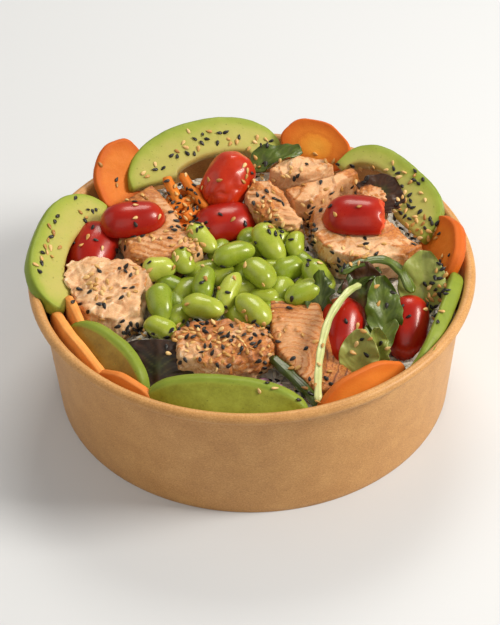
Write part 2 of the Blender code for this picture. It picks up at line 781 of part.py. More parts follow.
def block(name, size, kind, matrix):
    """A plain stick of a length, width and height."""
    bm = bmesh.new()
    bmesh.ops.create_cube(bm, size=1.0)
    bmesh.ops.scale(bm, vec=size, verts=bm.verts)
    return object_from(name, bm, kind, matrix)


def carrot_sticks():
    """The little heap of carrot sticks, fused over a core."""
    centre, radii = STICK_CORE
    core = ellipsoid("carrot_sticks", [2 * r for r in radii], "carrot", lying(centre, 0), 8, 6)
    sticks = []
    for number, (x, y, z, turn, rise, length) in enumerate(STICKS):
        size = (length, STICK_SIDE, STICK_SIDE * 0.8)
        matrix = lying((x, y, z), turn, rise, 17 * number)
        sticks.append(block(f"stick_{number}", size, "carrot", matrix))
    fuse(core, sticks)
    return core


def cabbage():
    """A few shreds of red cabbage that show between the fish and the avocado."""
    shreds = []
    for number, (x, y, z, turn, rise, length) in enumerate(SHREDS):
        matrix = lying((x, y, z), turn, rise, 11 * number)
        shreds.append(block(f"shred_{number}", (length, *SHRED_SIZE), "cabbage", matrix))
    first = shreds[0]
    first.name = "cabbage"
    fuse(first, shreds[1:])
    return first


def seeds_for(pieces):
    """Sesame seeds by the piece that each one lands on."""
    draw = random.Random(11)
    trees = {p.name: world_tree(p) for p in pieces}
    found = {}
    for px, py, spread, count in SEED_PATCHES:
        for _ in range(count):
            start = Vector((px + draw.gauss(0, spread * 0.6), py + draw.gauss(0, spread * 0.6), 90)) * MM
            turn = draw.uniform(0, 180)
            hits = {n: t.ray_cast(start, Vector((0, 0, -1))) for n, t in trees.items()}
            hits = {n: h for n, h in hits.items() if h[0] is not None}
            if not hits:
                continue
            host = max(hits, key=lambda n: hits[n][0].z)
            place, normal = hits[host][:2]
            others = [t for n, t in trees.items() if n != host]
            if normal.z < 0.35 or not clear_of(place, others, SEED_CLEARANCE):
                continue
            if not clear_of_points(place, found.get(host, ())):
                continue
            found.setdefault(host, []).append((place, normal, turn))
    return found


def clear_of_points(place, seeds):
    """True if the place is more than a seed's length from the seeds there."""
    return all((place - other[0]).length > SEED_SIZE[0] * MM for other in seeds)


def sow(pieces):
    """Fuses the sesame seeds to the pieces that they lie on."""
    found = seeds_for(pieces)
    for piece in pieces:
        made = []
        for place, normal, turn in found.get(piece.name, ()):
            flat = normal.to_track_quat("Z", "Y").to_matrix().to_4x4()
            lift = Vector((0, 0, (0.5 - SEED_SINK) * SEED_SIZE[2] * MM))
            matrix = Matrix.Translation(place) @ flat @ Matrix.Rotation(math.radians(turn), 4, "Z")
            matrix = matrix @ Matrix.Translation(lift)
            made.append(ellipsoid("seed", SEED_SIZE, "rice", matrix))
        if made:
            fuse(piece, made)


def build():
    """Makes every piece, firm ones first, and lets the softer ones give way."""
    for obj in list(bpy.data.objects):
        bpy.data.objects.remove(obj)
    noise.seed_set(NOISE_SEED)
    wall = bowl_wall()
    bowl_base()
    tomatoes = [tomato(name, *row) for name, row in TOMATOES.items()]
    beans = edamame()
    carrots = [carrot(name, *row) for name, row in CARROTS.items()]
    avocados = [avocado(name, *row) for name, row in AVOCADOS.items()]
    stems = [stem(name, *row) for name, row in STEMS.items()]
    fish = [salmon(name, *row) for name, row in SALMON.items()]
    sticks = carrot_sticks()
    leaves = [leaf(name, *row) for name, row in LEAVES.items()]
    shreds = cabbage()
    toppings = [wall, *tomatoes, beans, *carrots, *avocados, *stems, *fish, sticks, *leaves, shreds]
    make_room(toppings)
    bed = rice(toppings[1:])
    make_room([*toppings, bed], only=bed)
    sow(toppings[1:])
    fuse(bed, grains_for(bed, toppings))


if __name__ == "__main__":
    build()
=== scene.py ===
import json
import math
import random

import bmesh
import bpy
import numpy as np
from mathutils import Matrix, Vector, noise
from mathutils.bvhtree import BVHTree

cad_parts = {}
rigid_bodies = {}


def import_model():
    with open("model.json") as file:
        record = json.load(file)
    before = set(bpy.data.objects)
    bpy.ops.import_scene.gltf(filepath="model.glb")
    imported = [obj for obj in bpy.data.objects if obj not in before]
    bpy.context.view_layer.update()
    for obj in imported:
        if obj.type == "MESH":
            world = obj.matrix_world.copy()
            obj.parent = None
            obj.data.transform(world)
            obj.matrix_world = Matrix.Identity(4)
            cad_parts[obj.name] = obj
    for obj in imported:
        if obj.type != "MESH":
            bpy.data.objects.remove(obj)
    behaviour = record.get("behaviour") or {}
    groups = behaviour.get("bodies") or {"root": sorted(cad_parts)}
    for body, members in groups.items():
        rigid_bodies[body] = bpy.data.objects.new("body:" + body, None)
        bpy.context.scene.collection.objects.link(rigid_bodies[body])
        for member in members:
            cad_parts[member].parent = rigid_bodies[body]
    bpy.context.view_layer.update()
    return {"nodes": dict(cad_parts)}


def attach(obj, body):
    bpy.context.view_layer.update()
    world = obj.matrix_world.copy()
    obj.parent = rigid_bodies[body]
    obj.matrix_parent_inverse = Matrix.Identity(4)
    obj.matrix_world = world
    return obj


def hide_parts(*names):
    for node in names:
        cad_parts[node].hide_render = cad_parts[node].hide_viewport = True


for old in list(bpy.data.objects):
    bpy.data.objects.remove(old)

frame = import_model()
print("stage: frame loaded,", len(frame["nodes"]), "solids")

# lengths in the dictionaries are millimetres and angles are degrees
mm = 0.001


# materials

class Wire:
    # one socket of a material; arithmetic on it adds Math nodes
    def __init__(self, finish, socket):
        self.finish = finish
        self.socket = socket

    def combine(self, operation, first, second):
        return self.finish.node("ShaderNodeMath", {"operation": operation}, {0: first, 1: second})

    def __add__(self, other):
        return self.combine("ADD", self, other)

    def __sub__(self, other):
        return self.combine("SUBTRACT", self, other)

    def __rsub__(self, other):
        return self.combine("SUBTRACT", other, self)

    def __mul__(self, other):
        return self.combine("MULTIPLY", self, other)

    __radd__ = __add__
    __rmul__ = __mul__


class Finish:
    # one material, built from expressions on wires
    def __init__(
        self, name, roughness=0.5, subsurface=0.0, glow=(1.0, 0.5, 0.3),
        coat=0.0, coatRoughness=0.1, gloss=0.4,
    ):
        self.material = bpy.data.materials.new(name)
        self.material.use_nodes = True
        self.tree = self.material.node_tree
        self.shader = self.tree.nodes["Principled BSDF"]
        self.shader.inputs["Roughness"].default_value = roughness
        self.shader.inputs["Subsurface Weight"].default_value = subsurface
        self.shader.inputs["Subsurface Radius"].default_value = glow
        self.shader.inputs["Subsurface Scale"].default_value = 2.5 * mm
        self.shader.inputs["Coat Weight"].default_value = coat
        self.shader.inputs["Specular IOR Level"].default_value = gloss
        self.shader.inputs["Coat Roughness"].default_value = coatRoughness
        self.place = self.node("ShaderNodeTexCoord", out="Object")

    def node(self, kind, settings=None, sockets=None, out=0):
        made = self.tree.nodes.new(kind)
        for key, value in (settings or {}).items():
            if key == "stops":
                self.setStops(made.color_ramp, value)
            else:
                setattr(made, key, value)
        for key, value in (sockets or {}).items():
            if isinstance(value, Wire):
                self.tree.links.new(value.socket, made.inputs[key])
            else:
                made.inputs[key].default_value = value
        return Wire(self, made.outputs[out])

    def setStops(self, ramp, stops):
        while len(ramp.elements) < len(stops):
            ramp.elements.new(0.5)
        for element, (position, colour) in zip(ramp.elements, stops):
            element.position = position
            element.color = (*colour, 1.0)

    def feed(self, socket, wire):
        self.tree.links.new(wire.socket, self.shader.inputs[socket])

    def field(self, name):
        return self.node("ShaderNodeAttribute", {"attribute_name": name}, out="Fac")

    def clouds(self, size, detail=3.0, roughness=0.55, distortion=0.0, place=None):
        sockets = {
            "Vector": place or self.place,
            "Scale": 1.0 / (size * mm),
            "Detail": detail,
            "Roughness": roughness,
            "Distortion": distortion,
        }
        return self.node("ShaderNodeTexNoise", None, sockets)

    def stretched(self, scale):
        return self.node("ShaderNodeMapping", None, {"Vector": self.place, "Scale": scale})

    def step(self, wire, low, high):
        # 0 below low, 1 above high, smooth between
        return self.node(
            "ShaderNodeMapRange", {"interpolation_type": "SMOOTHSTEP"},
            {"Value": wire, "From Min": low, "From Max": high},
        )

    def ramp(self, wire, stops):
        return self.node("ShaderNodeValToRGB", {"stops": stops}, {"Fac": wire}, "Color")

    def blend(self, factor, first, second):
        # mixes two colours, given as wires or as triples
        first, second = (c if isinstance(c, Wire) else (*c, 1.0) for c in (first, second))
        return self.node("ShaderNodeMix", {"data_type": "RGBA"}, {0: factor, 6: first, 7: second}, 2)

    def bump(self, height, depth, strength=1.0):
        sockets = {"Height": height, "Distance": depth * mm, "Strength": strength}
        self.feed("Normal", self.node("ShaderNodeBump", None, sockets))


def srgb(red, green, blue):
    # a colour read off a screen, as the linear triple that a shader takes
    shares = (red / 255, green / 255, blue / 255)
    return tuple(s / 12.92 if s < 0.0405 else ((s + 0.055) / 1.055) ** 2.4 for s in shares)


# mesh making, in millimetres until a piece is finished

def gridOf(loops, closeEnds=True):
    # skins a stack of closed loops; fans close both ends
    count, around = loops.shape[:2]
    points = loops.reshape(-1, 3)
    rows = np.arange(count - 1)[:, None] * around
    spots = np.arange(around)[None, :]
    after = (spots + 1) % around
    here, beside = rows + spots, rows + after
    quads = np.stack([here, beside, beside + around, here + around], -1).reshape(-1, 4)
    faces = quads.tolist()
    if closeEnds:
        first, last = len(points), len(points) + 1
        points = np.vstack([points, loops[0].mean(0), loops[-1].mean(0)])
        top = (count - 1) * around
        for k in range(around):
            nextSpot = (k + 1) % around
            faces.append([first, nextSpot, k])
            faces.append([last, top + k, top + nextSpot])
    return points, faces


def joined(parts):
    # one set of points, faces and fields from several
    points, faces, fields, start = [], [], {}, 0
    for part in parts:
        points.append(part[0])
        faces.extend([[v + start for v in face] for face in part[1]])
        start += len(part[0])
        for key, values in part[2].items():
            fields.setdefault(key, []).append(values)
    return np.vstack(points), faces, {key: np.concatenate(values) for key, values in fields.items()}


def placed(points, matrix):
    # moves points by a 4x4 matrix whose translation is in millimetres
    turn = np.array(matrix.to_3x3())
    return points @ turn.T + np.array(matrix.translation)


def standing(at, facing, lean, roll=0.0):
    # frame of a flat piece that leans: Y up the piece, Z out of its face
    return (
        Matrix.Translation(at)
        @ Matrix.Rotation(math.radians(facing - 90), 4, "Z")
        @ Matrix.Rotation(math.radians(lean), 4, "X")
        @ Matrix.Rotation(math.radians(roll), 4, "Z")
    )


def lying(at, turn, rise=0.0, roll=0.0):
    # frame of a long piece: X along it
    return (
        Matrix.Translation(at)
        @ Matrix.Rotation(math.radians(turn), 4, "Z")
        @ Matrix.Rotation(math.radians(-rise), 4, "Y")
        @ Matrix.Rotation(math.radians(roll), 4, "X")
    )


def rough(points, size, amount, seed=0.0, detail=1):
    # smooth noise of a grain size at every point, from -amount to amount
    found = np.empty(len(points))
    shift = Vector((seed * 17.3, seed * 5.1, seed * 9.7))
    for k, point in enumerate(points.tolist()):
        spot = Vector(point) / size + shift
        found[k] = noise.noise(spot) if detail == 1 else noise.fractal(spot, 1.0, 2.0, detail)
    return found * amount


def normalsOf(points, faces):
    # area-weighted vertex normals
    mesh = bpy.data.meshes.new("normals")
    mesh.from_pydata(points.tolist(), [], faces)
    found = np.empty(len(points) * 3)
    mesh.vertices.foreach_get("normal", found)
    bpy.data.meshes.remove(mesh)
    return found.reshape(-1, 3)


def smoothstep(values, low, high):
    share = np.clip((values - low) / (high - low), 0, 1)
    return share * share * (3 - 2 * share)


bowlSize = {
    # eye: radius at which the base is closed by a fan
    # ledge: how far inside the middle of the roll a point is still lifted over it
    "rimRadius": 92.4,
    "height": 61.0,
    "wallTop": 88.2,
    "foot": 83.5,
    "paper": 0.8,
    "roll": 2.3,
    "recess": 4.3,
    "baseGap": 0.4,
    "bevel": 0.3,
    "eye": 0.5,
    "skirt": 0.5,
    "footEdge": (0.2, 0.25),
    "wallGap": 0.3,
    "rimGap": 0.15,
    "ledge": 0.6,
    "sides": 224,
    "rollSteps": 22,
    "wallRows": 24,
}


def insideBowl(points):
    # pulls in what would cut the paper wall or its rolled rim
    size = bowlSize
    away = np.hypot(points[:, 0], points[:, 1])
    rise = size["height"] - size["roll"]
    wall = size["foot"] + (size["wallTop"] - size["foot"]) * points[:, 2] / rise - size["paper"]
    limit = np.where(points[:, 2] < rise, wall - size["wallGap"], np.inf)
    centre, thick = size["rimRadius"] - size["roll"], size["roll"] + size["rimGap"]
    over = points[:, 2] - rise
    beside = np.sqrt(np.maximum(0, thick**2 - over**2))
    within = (np.abs(over) < thick) & (away > centre - beside) & (away < centre + beside)
    lift = within & (away > centre - size["ledge"])
    points = points.copy()
    across = np.sqrt(np.maximum(0, thick**2 - (away - centre) ** 2))
    points[lift, 2] = rise + across[lift]
    limit = np.where(within & ~lift, centre - beside, limit)
    limit = np.where(lift, np.inf, limit)
    points[:, :2] *= np.minimum(1, limit / np.maximum(away, 1e-6))[:, None]
    return points


madePieces = []


def finishPiece(name, points, faces, fields, finish, slot, *nodes, turned=True):
    # a finished piece of the bowl: its mesh, its material and its place in the frame
    if slot != "paper":
        points = insideBowl(points)
    mesh = bpy.data.meshes.new(name)
    mesh.from_pydata((points * mm).tolist(), [], faces)
    for key, values in fields.items():
        mesh.attributes.new(key, "FLOAT", "POINT").data.foreach_set("value", np.asarray(values, np.float32))
    if turned:
        bm = bmesh.new()
        bm.from_mesh(mesh)
        bmesh.ops.recalc_face_normals(bm, faces=bm.faces)
        bm.to_mesh(mesh)
        bm.free()
    mesh.shade_smooth()
    mesh.materials.append(finish.material)
    piece = bpy.data.objects.new(name, mesh)
    bpy.context.scene.collection.objects.link(piece)
    return adopt(piece, slot, *nodes)


def adopt(piece, slot, *nodes):
    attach(piece, "root")
    if nodes:
        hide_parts(*nodes)
    madePieces.append(piece)
    return piece


def largestPart(points, faces):
    # the points and faces of the largest connected part
    parent = np.arange(len(points))
    rims = np.array([(face[k - 1], face[k]) for face in faces for k in range(len(face))])
    while True:
        low = np.minimum(parent[rims[:, 0]], parent[rims[:, 1]])
        before = parent.copy()
        np.minimum.at(parent, rims[:, 0], low)
        np.minimum.at(parent, rims[:, 1], low)
        parent = parent[parent]
        if (before == parent).all():
            break
    main = np.bincount(parent).argmax()
    kept = parent == main
    fresh = np.cumsum(kept) - 1
    return points[kept], [[int(fresh[v]) for v in face] for face in faces if kept[face[0]]]


def solidCopy(node, voxel, smoothing):
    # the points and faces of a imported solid, remeshed to even small faces
    mesh = frame["nodes"][node].data.copy()
    bm = bmesh.new()
    bm.from_mesh(mesh)
    bmesh.ops.remove_doubles(bm, verts=bm.verts, dist=1e-6)
    bm.to_mesh(mesh)
    bm.free()
    copy = bpy.data.objects.new("copy", mesh)
    bpy.context.scene.collection.objects.link(copy)
    remesh = copy.modifiers.new("Even", "REMESH")
    remesh.mode = "VOXEL"
    remesh.voxel_size = voxel * mm
    smooth = copy.modifiers.new("Smooth", "SMOOTH")
    smooth.iterations = smoothing
    graph = bpy.context.evaluated_depsgraph_get()
    result = bpy.data.meshes.new_from_object(copy.evaluated_get(graph))
    points = np.empty(len(result.vertices) * 3)
    result.vertices.foreach_get("co", points)
    faces = [list(face.vertices) for face in result.polygons]
    bpy.data.objects.remove(copy)
    return largestPart(points.reshape(-1, 3) / mm, faces)


# paper bowl

def kraftPaper():
    finish = Finish("kraftPaper", roughness=0.5, coat=0.12, coatRoughness=0.35)
    mottle = finish.clouds(11, detail=4)
    fibre = finish.clouds(0.75, detail=5, roughness=0.75, place=finish.stretched((1.0, 1.0, 2.2)))
    fleck = finish.step(finish.clouds(0.6, detail=2, roughness=0.6), 0.64, 0.72)
    strands = finish.clouds(0.7, detail=3, roughness=0.6, place=finish.stretched((2.2, 2.2, 1.0)))
    pale = finish.step(strands, 0.6, 0.72)
    tone = finish.ramp(
        mottle * 0.25 + fibre * 0.75,
        [(0.34, srgb(168, 118, 64)), (0.5, srgb(196, 144, 84)), (0.66, srgb(218, 170, 108))],
    )
    flecked = finish.blend(fleck * 0.6, tone, srgb(138, 90, 44))
    finish.feed("Base Color", finish.blend(pale * 0.4, flecked, srgb(222, 182, 132)))
    finish.feed("Roughness", 0.36 + fibre * 0.3)
    finish.bump(fibre * 0.8 + mottle * 0.2, 0.08, 0.6)
    return finish


def lathed(profile, sides, closed):
    # a body turned from a profile of (radius, height)
    angles = np.linspace(0, math.tau, sides, endpoint=False)
    profile = np.array(profile, float)
    loops = np.empty((len(profile), sides, 3))
    loops[..., 0] = profile[:, None, 0] * np.cos(angles)
    loops[..., 1] = profile[:, None, 0] * np.sin(angles)
    loops[..., 2] = profile[:, None, 1]
    if closed:
        loops = np.concatenate([loops, loops[:1]])
        points, faces = gridOf(loops, closeEnds=False)
        last = len(profile) * sides
        faces = [[v - last if v >= last else v for v in face] for face in faces]
        return points[:last], faces
    return gridOf(loops)


def makeBowl(finish):
    size = bowlSize
    throat = size["height"] - 2 * size["roll"]
    heights = np.linspace(0, throat, size["wallRows"])
    radii = size["foot"] + (size["wallTop"] - size["foot"]) * heights / (size["height"] - size["roll"])
    centre = (size["rimRadius"] - size["roll"], size["height"] - size["roll"])
    angles = np.radians(np.linspace(-125, 180, size["rollSteps"]))
    roll = [(centre[0] + size["roll"] * math.cos(a), centre[1] + size["roll"] * math.sin(a)) for a in angles]
    inset, rounded = size["footEdge"]
    outside = list(zip(radii, heights))
    outside[0] = (radii[0] - inset, 0.0)
    outside.insert(1, (radii[0], rounded))
    inside = [(r - size["paper"], h) for r, h in zip(radii[::-1], heights[::-1])]
    points, faces = lathed(outside + roll + inside, size["sides"], closed=True)
    finishPiece("bowl_wall_paper", points, faces, {}, finish, "paper", "bowl_wall")
    outer = size["foot"] - size["paper"] - size["baseGap"]
    inner = outer - size["paper"]
    top = size["recess"] + size["paper"]
    bevel, eye, skirt = size["bevel"], size["eye"], size["skirt"]
    profile = [
        (eye, top), (outer - bevel, top), (outer, top - bevel), (outer, skirt), (inner, skirt),
        (inner, size["recess"]), (eye, size["recess"]),
    ]
    points, faces = lathed(profile, size["sides"], closed=False)
    finishPiece("bowl_base_paper", points, faces, {}, finish, "paper", "bowl_base")


paper = kraftPaper()
makeBowl(paper)
print("stage: paper bowl")


# avocado slices

avocadoLook = {
    # wellBulged: a slice that bends more than this has its outer colour round the edges too
    "stations": 96,
    "faceSteps": 26,
    "edgeSteps": 9,
    "squareness": 0.55,
    "unevenness": 0.35,
    "rindBand": 4.2,
    "bandFloor": 0.12,
    "stoneFade": 3.5,
    "endRounding": 0.03,
    "thinnest": 0.05,
    "wellBulged": 4,
    "peelEdge": (0.8, 2.4),
    "waves": (13, 4),
    "smallWaves": 0.45,
}
avocados = {
    # start and end: the ends of the straight edge; crown: the top of the curved one
    # stone: depth, place and reach of the hollow
    # peeled: 0 where the cut face shows, 1 where the outer side shows, more where that outer side is painted
    # browner and darker as shade
    "avocado_left": {
        "start": (-62, 44, 57), "end": (-78, -23, 54), "crown": (-90.5, 10.5, 69),
        "thickness": 6, "bulge": 0, "fullness": 2.6, "tip": 4, "stone": (8, 0.0, 0.6), "peeled": 0.0,
    },
    "avocado_back": {
        "start": (-52, 55, 57), "end": (15, 80, 59), "crown": (-12, 92, 70.5),
        "thickness": 6, "bulge": 0, "fullness": 2.2, "tip": 4, "stone": (6, 0.1, 0.5), "peeled": 0.0,
    },
    "avocado_back_right": {
        "start": (38, 64, 62), "end": (73, 15, 56.5), "crown": (68, 55, 70.5),
        "thickness": 6, "bulge": 0, "fullness": 2.8, "tip": 7, "stone": (11, -0.25, 0.56), "peeled": 0.25,
    },
    "avocado_right": {
        "start": (82, -4, 53), "end": (61, -60, 49), "crown": (77, -35, 61.5),
        "thickness": 6.5, "bulge": 4, "fullness": 3.2, "tip": 6, "stone": (0, 0.0, 0.5), "peeled": 0.5,
    },
    "avocado_front": {
        "start": (-43, -71, 50), "end": (21, -81, 50), "crown": (-15, -70.5, 64),
        "thickness": 5, "bulge": 7, "fullness": 2.4, "tip": 3, "stone": (0, 0.0, 0.5), "peeled": 1.0,
    },
    "avocado_front_left": {
        "start": (-75, -30, 49), "end": (-43, -67, 49), "crown": (-53, -46, 62.5),
        "thickness": 5, "bulge": 6, "fullness": 2.4, "tip": 3, "stone": (0, 0.0, 0.5), "peeled": 1.3,
    },
}


def avocadoFlesh():
    finish = Finish("avocadoFlesh", subsurface=0.06, glow=(1.0, 0.9, 0.25), gloss=0.3)
    rind, peeled = finish.field("towardRind"), finish.field("peeled")
    stone = finish.field("towardStone")
    drift = finish.clouds(9, detail=4)
    fine = finish.clouds(1.1, detail=4, roughness=0.65)
    edge = rind + (drift - 0.5) * 0.55 + (fine - 0.5) * 0.14
    flesh = finish.ramp(
        edge,
        [
            (0.0, srgb(186, 176, 100)), (0.3, srgb(174, 174, 88)), (0.55, srgb(154, 166, 66)),
            (0.8, srgb(140, 156, 54)), (1.0, srgb(124, 142, 44)),
        ],
    )
    browned = finish.step(stone + (drift - 0.5) * 0.9, 0.45, 1.05)
    flesh = finish.blend(browned * 0.6, flesh, srgb(176, 140, 76))
    skin = finish.ramp(
        drift * 0.7 + fine * 0.3,
        [(0.32, srgb(122, 124, 30)), (0.5, srgb(142, 148, 44)), (0.7, srgb(160, 168, 60))],
    )
    shadedSkin = finish.ramp(
        drift * 0.7 + fine * 0.3,
        [(0.32, srgb(134, 106, 36)), (0.5, srgb(154, 124, 46)), (0.7, srgb(166, 142, 60))],
    )
    # painted shade: above 1, peeled turns the outer side to a darker, browner skin colour for a face that
    # lies in shade
    skin = finish.blend(finish.step(peeled, 1.02, 1.25), skin, shadedSkin)
    pit = finish.step(finish.clouds(1.3, detail=1), 0.7, 0.76)
    colour = finish.blend(finish.step(peeled, 0.15, 0.95), flesh, skin)
    colour = finish.blend(pit * 0.55, colour, srgb(112, 116, 40))
    finish.feed("Base Color", colour)
    finish.feed("Roughness", 0.34 + fine * 0.3)
    finish.bump(fine * 0.5 + drift * 0.5 - pit * 0.4, 0.25, 0.5)
    return finish


def sliceFrame(start, end, crown):
    # X along the straight edge, Y up to the crown, Z towards the middle of the bowl
    start, end, crown = Vector(start), Vector(end), Vector(crown)
    along = (end - start).normalized()
    middle = (start + end) / 2
    up = crown - middle
    up -= up.dot(along) * along
    normal = along.cross(up.normalized())
    towards = 1
    if normal.dot(Vector((-middle.x, -middle.y, 0))) < 0:
        along, normal, towards = -along, -normal, -1
    matrix = Matrix((along, up.normalized(), normal)).transposed().to_4x4()
    matrix.translation = middle
    return matrix, (end - start).length, up.length, towards


def sectionOf(faceSteps, edgeSteps, squareness):
    # a slice's section: (place across from 0 to 1, side, edge turn) round the loop
    spots = []
    for k in range(faceSteps):
        spots.append((k / (faceSteps - 1), 1.0, 0.0))
    for k in range(1, edgeSteps):
        angle = math.pi * k / edgeSteps
        turn, side = math.sin(angle), math.cos(angle)
        spots.append((1.0, math.copysign(abs(side) ** squareness, side), turn**squareness))
    for k in range(faceSteps):
        spots.append((1 - k / (faceSteps - 1), -1.0, 0.0))
    for k in range(1, edgeSteps):
        angle = math.pi * k / edgeSteps
        turn, side = math.sin(angle), -math.cos(angle)
        spots.append((0.0, math.copysign(abs(side) ** squareness, side), -(turn**squareness)))
    return np.array(spots)


def makeAvocado(name, slice, finish):
    look = avocadoLook
    matrix, length, width, towards = sliceFrame(slice["start"], slice["end"], slice["crown"])
    section = sectionOf(look["faceSteps"], look["edgeSteps"], look["squareness"])
    depth, place, reach = slice["stone"]
    half = slice["thickness"] / 2
    seed = sum(map(ord, name)) % 50
    loops, rind, peeled, stoned = [], [], [], []
    for share in np.sin(np.linspace(-math.pi / 2, math.pi / 2, look["stations"])):
        outer = max(slice["tip"], width * (1 - abs(share) ** slice["fullness"]) ** (1 / slice["fullness"]))
        inner = depth * math.sqrt(max(0.0, 1 - ((share * towards - place) / reach) ** 2))
        ending = min(1.0, math.sqrt(max(0.0, 1 - abs(share)) / look["endRounding"]))
        radius = max(look["thinnest"], half * ending)
        middle = (inner + outer) / 2
        reachAcross = max(look["thinnest"], (outer - inner) / 2 * ending - radius)
        y = middle + reachAcross * (2 * section[:, 0] - 1) + radius * section[:, 2]
        z = radius * section[:, 1]
        z = z - slice["bulge"] * (1 - share**2) * (1 - y / width)
        x = np.full_like(y, share * (length / 2))
        loops.append(np.stack([x, y, z], -1))
        fromRind = (outer * ending - y) + 0.6 * (1 - ending) * width
        toEnd = (1 - abs(share)) * length / 2
        band = np.exp(-np.maximum(0, np.minimum(fromRind, toEnd + 2)) / look["rindBand"])
        rind.append(np.clip(band + look["bandFloor"], 0, 1))
        stoned.append(np.exp(-np.maximum(0, y - inner) / look["stoneFade"]) * (inner > 0.5))
        low, high = (-0.7, 0.3) if slice["bulge"] > look["wellBulged"] else (0.4, 1)
        outerFace = smoothstep(-section[:, 1], low, high)
        topEdge = smoothstep(fromRind, *look["peelEdge"])
        peeled.append(slice["peeled"] * outerFace * topEdge)
    points, faces = gridOf(np.array(loops))
    points = placed(points, matrix)
    normals = normalsOf(points, faces)
    large, small = look["waves"]
    amount = rough(points, large, look["unevenness"], seed)
    amount = amount + rough(points, small, look["unevenness"] * look["smallWaves"], seed + 3)
    points = points + normals * amount[:, None]
    ends = [1.0, 1.0]
    fields = {
        "towardRind": np.append(np.concatenate(rind), ends),
        "peeled": np.append(np.concatenate(peeled), ends),
        "towardStone": np.append(np.concatenate(stoned), [0.0, 0.0]),
    }
    finishPiece(name + "_slice", points, faces, fields, finish, "avocado", name)


avocadoFinish = avocadoFlesh()
for sliceName, sliceValues in avocados.items():
    makeAvocado(sliceName, sliceValues, avocadoFinish)
print("stage: avocado")


# carrot slices and sticks

carrotLook = {
    "around": 96,
    "rings": 22,
    "edgeSteps": 6,
    "unevenness": 0.3,
    "plainFrom": 0.66,
    "ragged": ((3, 0.024), (7, 0.016)),
}
carrots = {
    # plain: 1 where no core shows; pale: how much paler the cut is painted, partly a dry washed-out cut and
    # partly painted light for pieces that lie in shade
    "carrot_back_left": {
        "at": (-57, 60.5, 62), "facing": 133, "lean": 52, "roll": 48, "size": (33, 24, 3), "curl": 1.5,
        "plain": 1, "pale": 0.0,
    },
    "carrot_back": {
        "at": (30, 76, 63.5), "facing": 68, "lean": 46, "roll": -10, "size": (33, 23, 2.6), "curl": 2.5,
        "plain": 0, "pale": 0.0,
    },
    "carrot_right": {
        "at": (80.5, 9, 58), "facing": 6, "lean": 60, "roll": 8, "size": (36, 26, 5.5), "curl": 1.5,
        "plain": 1, "pale": 0.0,
    },
    "carrot_front_right": {
        "at": (44, -69, 51.5), "facing": 303, "lean": 112, "roll": 0, "size": (42, 21, 3.4), "curl": 4,
        "plain": 1, "pale": 0.12,
    },
    "carrot_left": {
        "at": (-73.5, -41, 51.5), "facing": 209, "lean": 98, "roll": 0, "size": (46, 20, 3.4), "curl": 4,
        "plain": 1, "pale": 1.0,
    },
    "carrot_left_inner": {
        "at": (-73, -25, 53), "facing": 200, "lean": 96, "roll": 0, "size": (26, 18, 3.2), "curl": 1.5,
        "plain": 1, "pale": 0.9,
    },
    "carrot_front_left": {
        "at": (-51, -66.5, 51), "facing": 233, "lean": 98, "roll": 0, "size": (30, 18, 3.2), "curl": 2,
        "plain": 1, "pale": 0.45,
    },
}
carrotSticks = {
    "rows": (
        # x, y, z, turn, rise, length
        (-33, 48, 62, 105, 10, 17), (-24, 47, 63, 118, 14, 20), (-30, 41, 60, 30, 4, 15),
        (-24, 37, 59, 60, -6, 14), (-31, 36, 57, 140, 0, 13), (-26, 31, 57, 10, 0, 12),
        (-36, 43, 57, 75, 0, 15), (-28, 52, 58, 20, 0, 16), (-27, 43, 58, 80, 0, 15),
        (-33, 40, 57, 10, 0, 13), (-24, 34, 55, 100, 0, 14), (-29, 47, 56, 150, 0, 14),
    ),
    "side": 4.4,
    "depth": 3.6,
    "bevel": 0.5,
    "cuts": 9,
    "taper": 0.25,
    "bow": 0.7,
    "core": ((-29, 42, 53), (9, 13, 5)),
}


def carrotFlesh():
    finish = Finish("carrotFlesh", subsurface=0.04, glow=(1.0, 0.45, 0.1), gloss=0.25)
    core, paleness = finish.field("fromCore"), finish.field("pale")
    drift = finish.clouds(6, detail=4)
    fine = finish.clouds(0.8, detail=4, roughness=0.65)
    tone = finish.ramp(
        core + (drift - 0.5) * 0.3 + (fine - 0.5) * 0.16,
        [
            (0.1, srgb(236, 162, 58)), (0.4, srgb(232, 146, 46)), (0.52, srgb(212, 116, 32)),
            (0.62, srgb(216, 122, 36)), (0.8, srgb(208, 108, 26)), (1.0, srgb(198, 94, 20)),
        ],
    )
    dry = finish.step(fine, 0.62, 0.8)
    tone = finish.blend(dry * 0.35, tone, srgb(232, 150, 66))
    # partly painted light: pale lightens pieces that lie in shade, and partly stands for a dry washed-out
    # cut
    finish.feed("Base Color", finish.blend(paleness * (0.35 + drift * 0.9), tone, srgb(244, 172, 92)))
    finish.feed("Roughness", 0.42 + fine * 0.3)
    finish.bump(fine * 0.6 + drift * 0.4, 0.3, 0.7)
    return finish


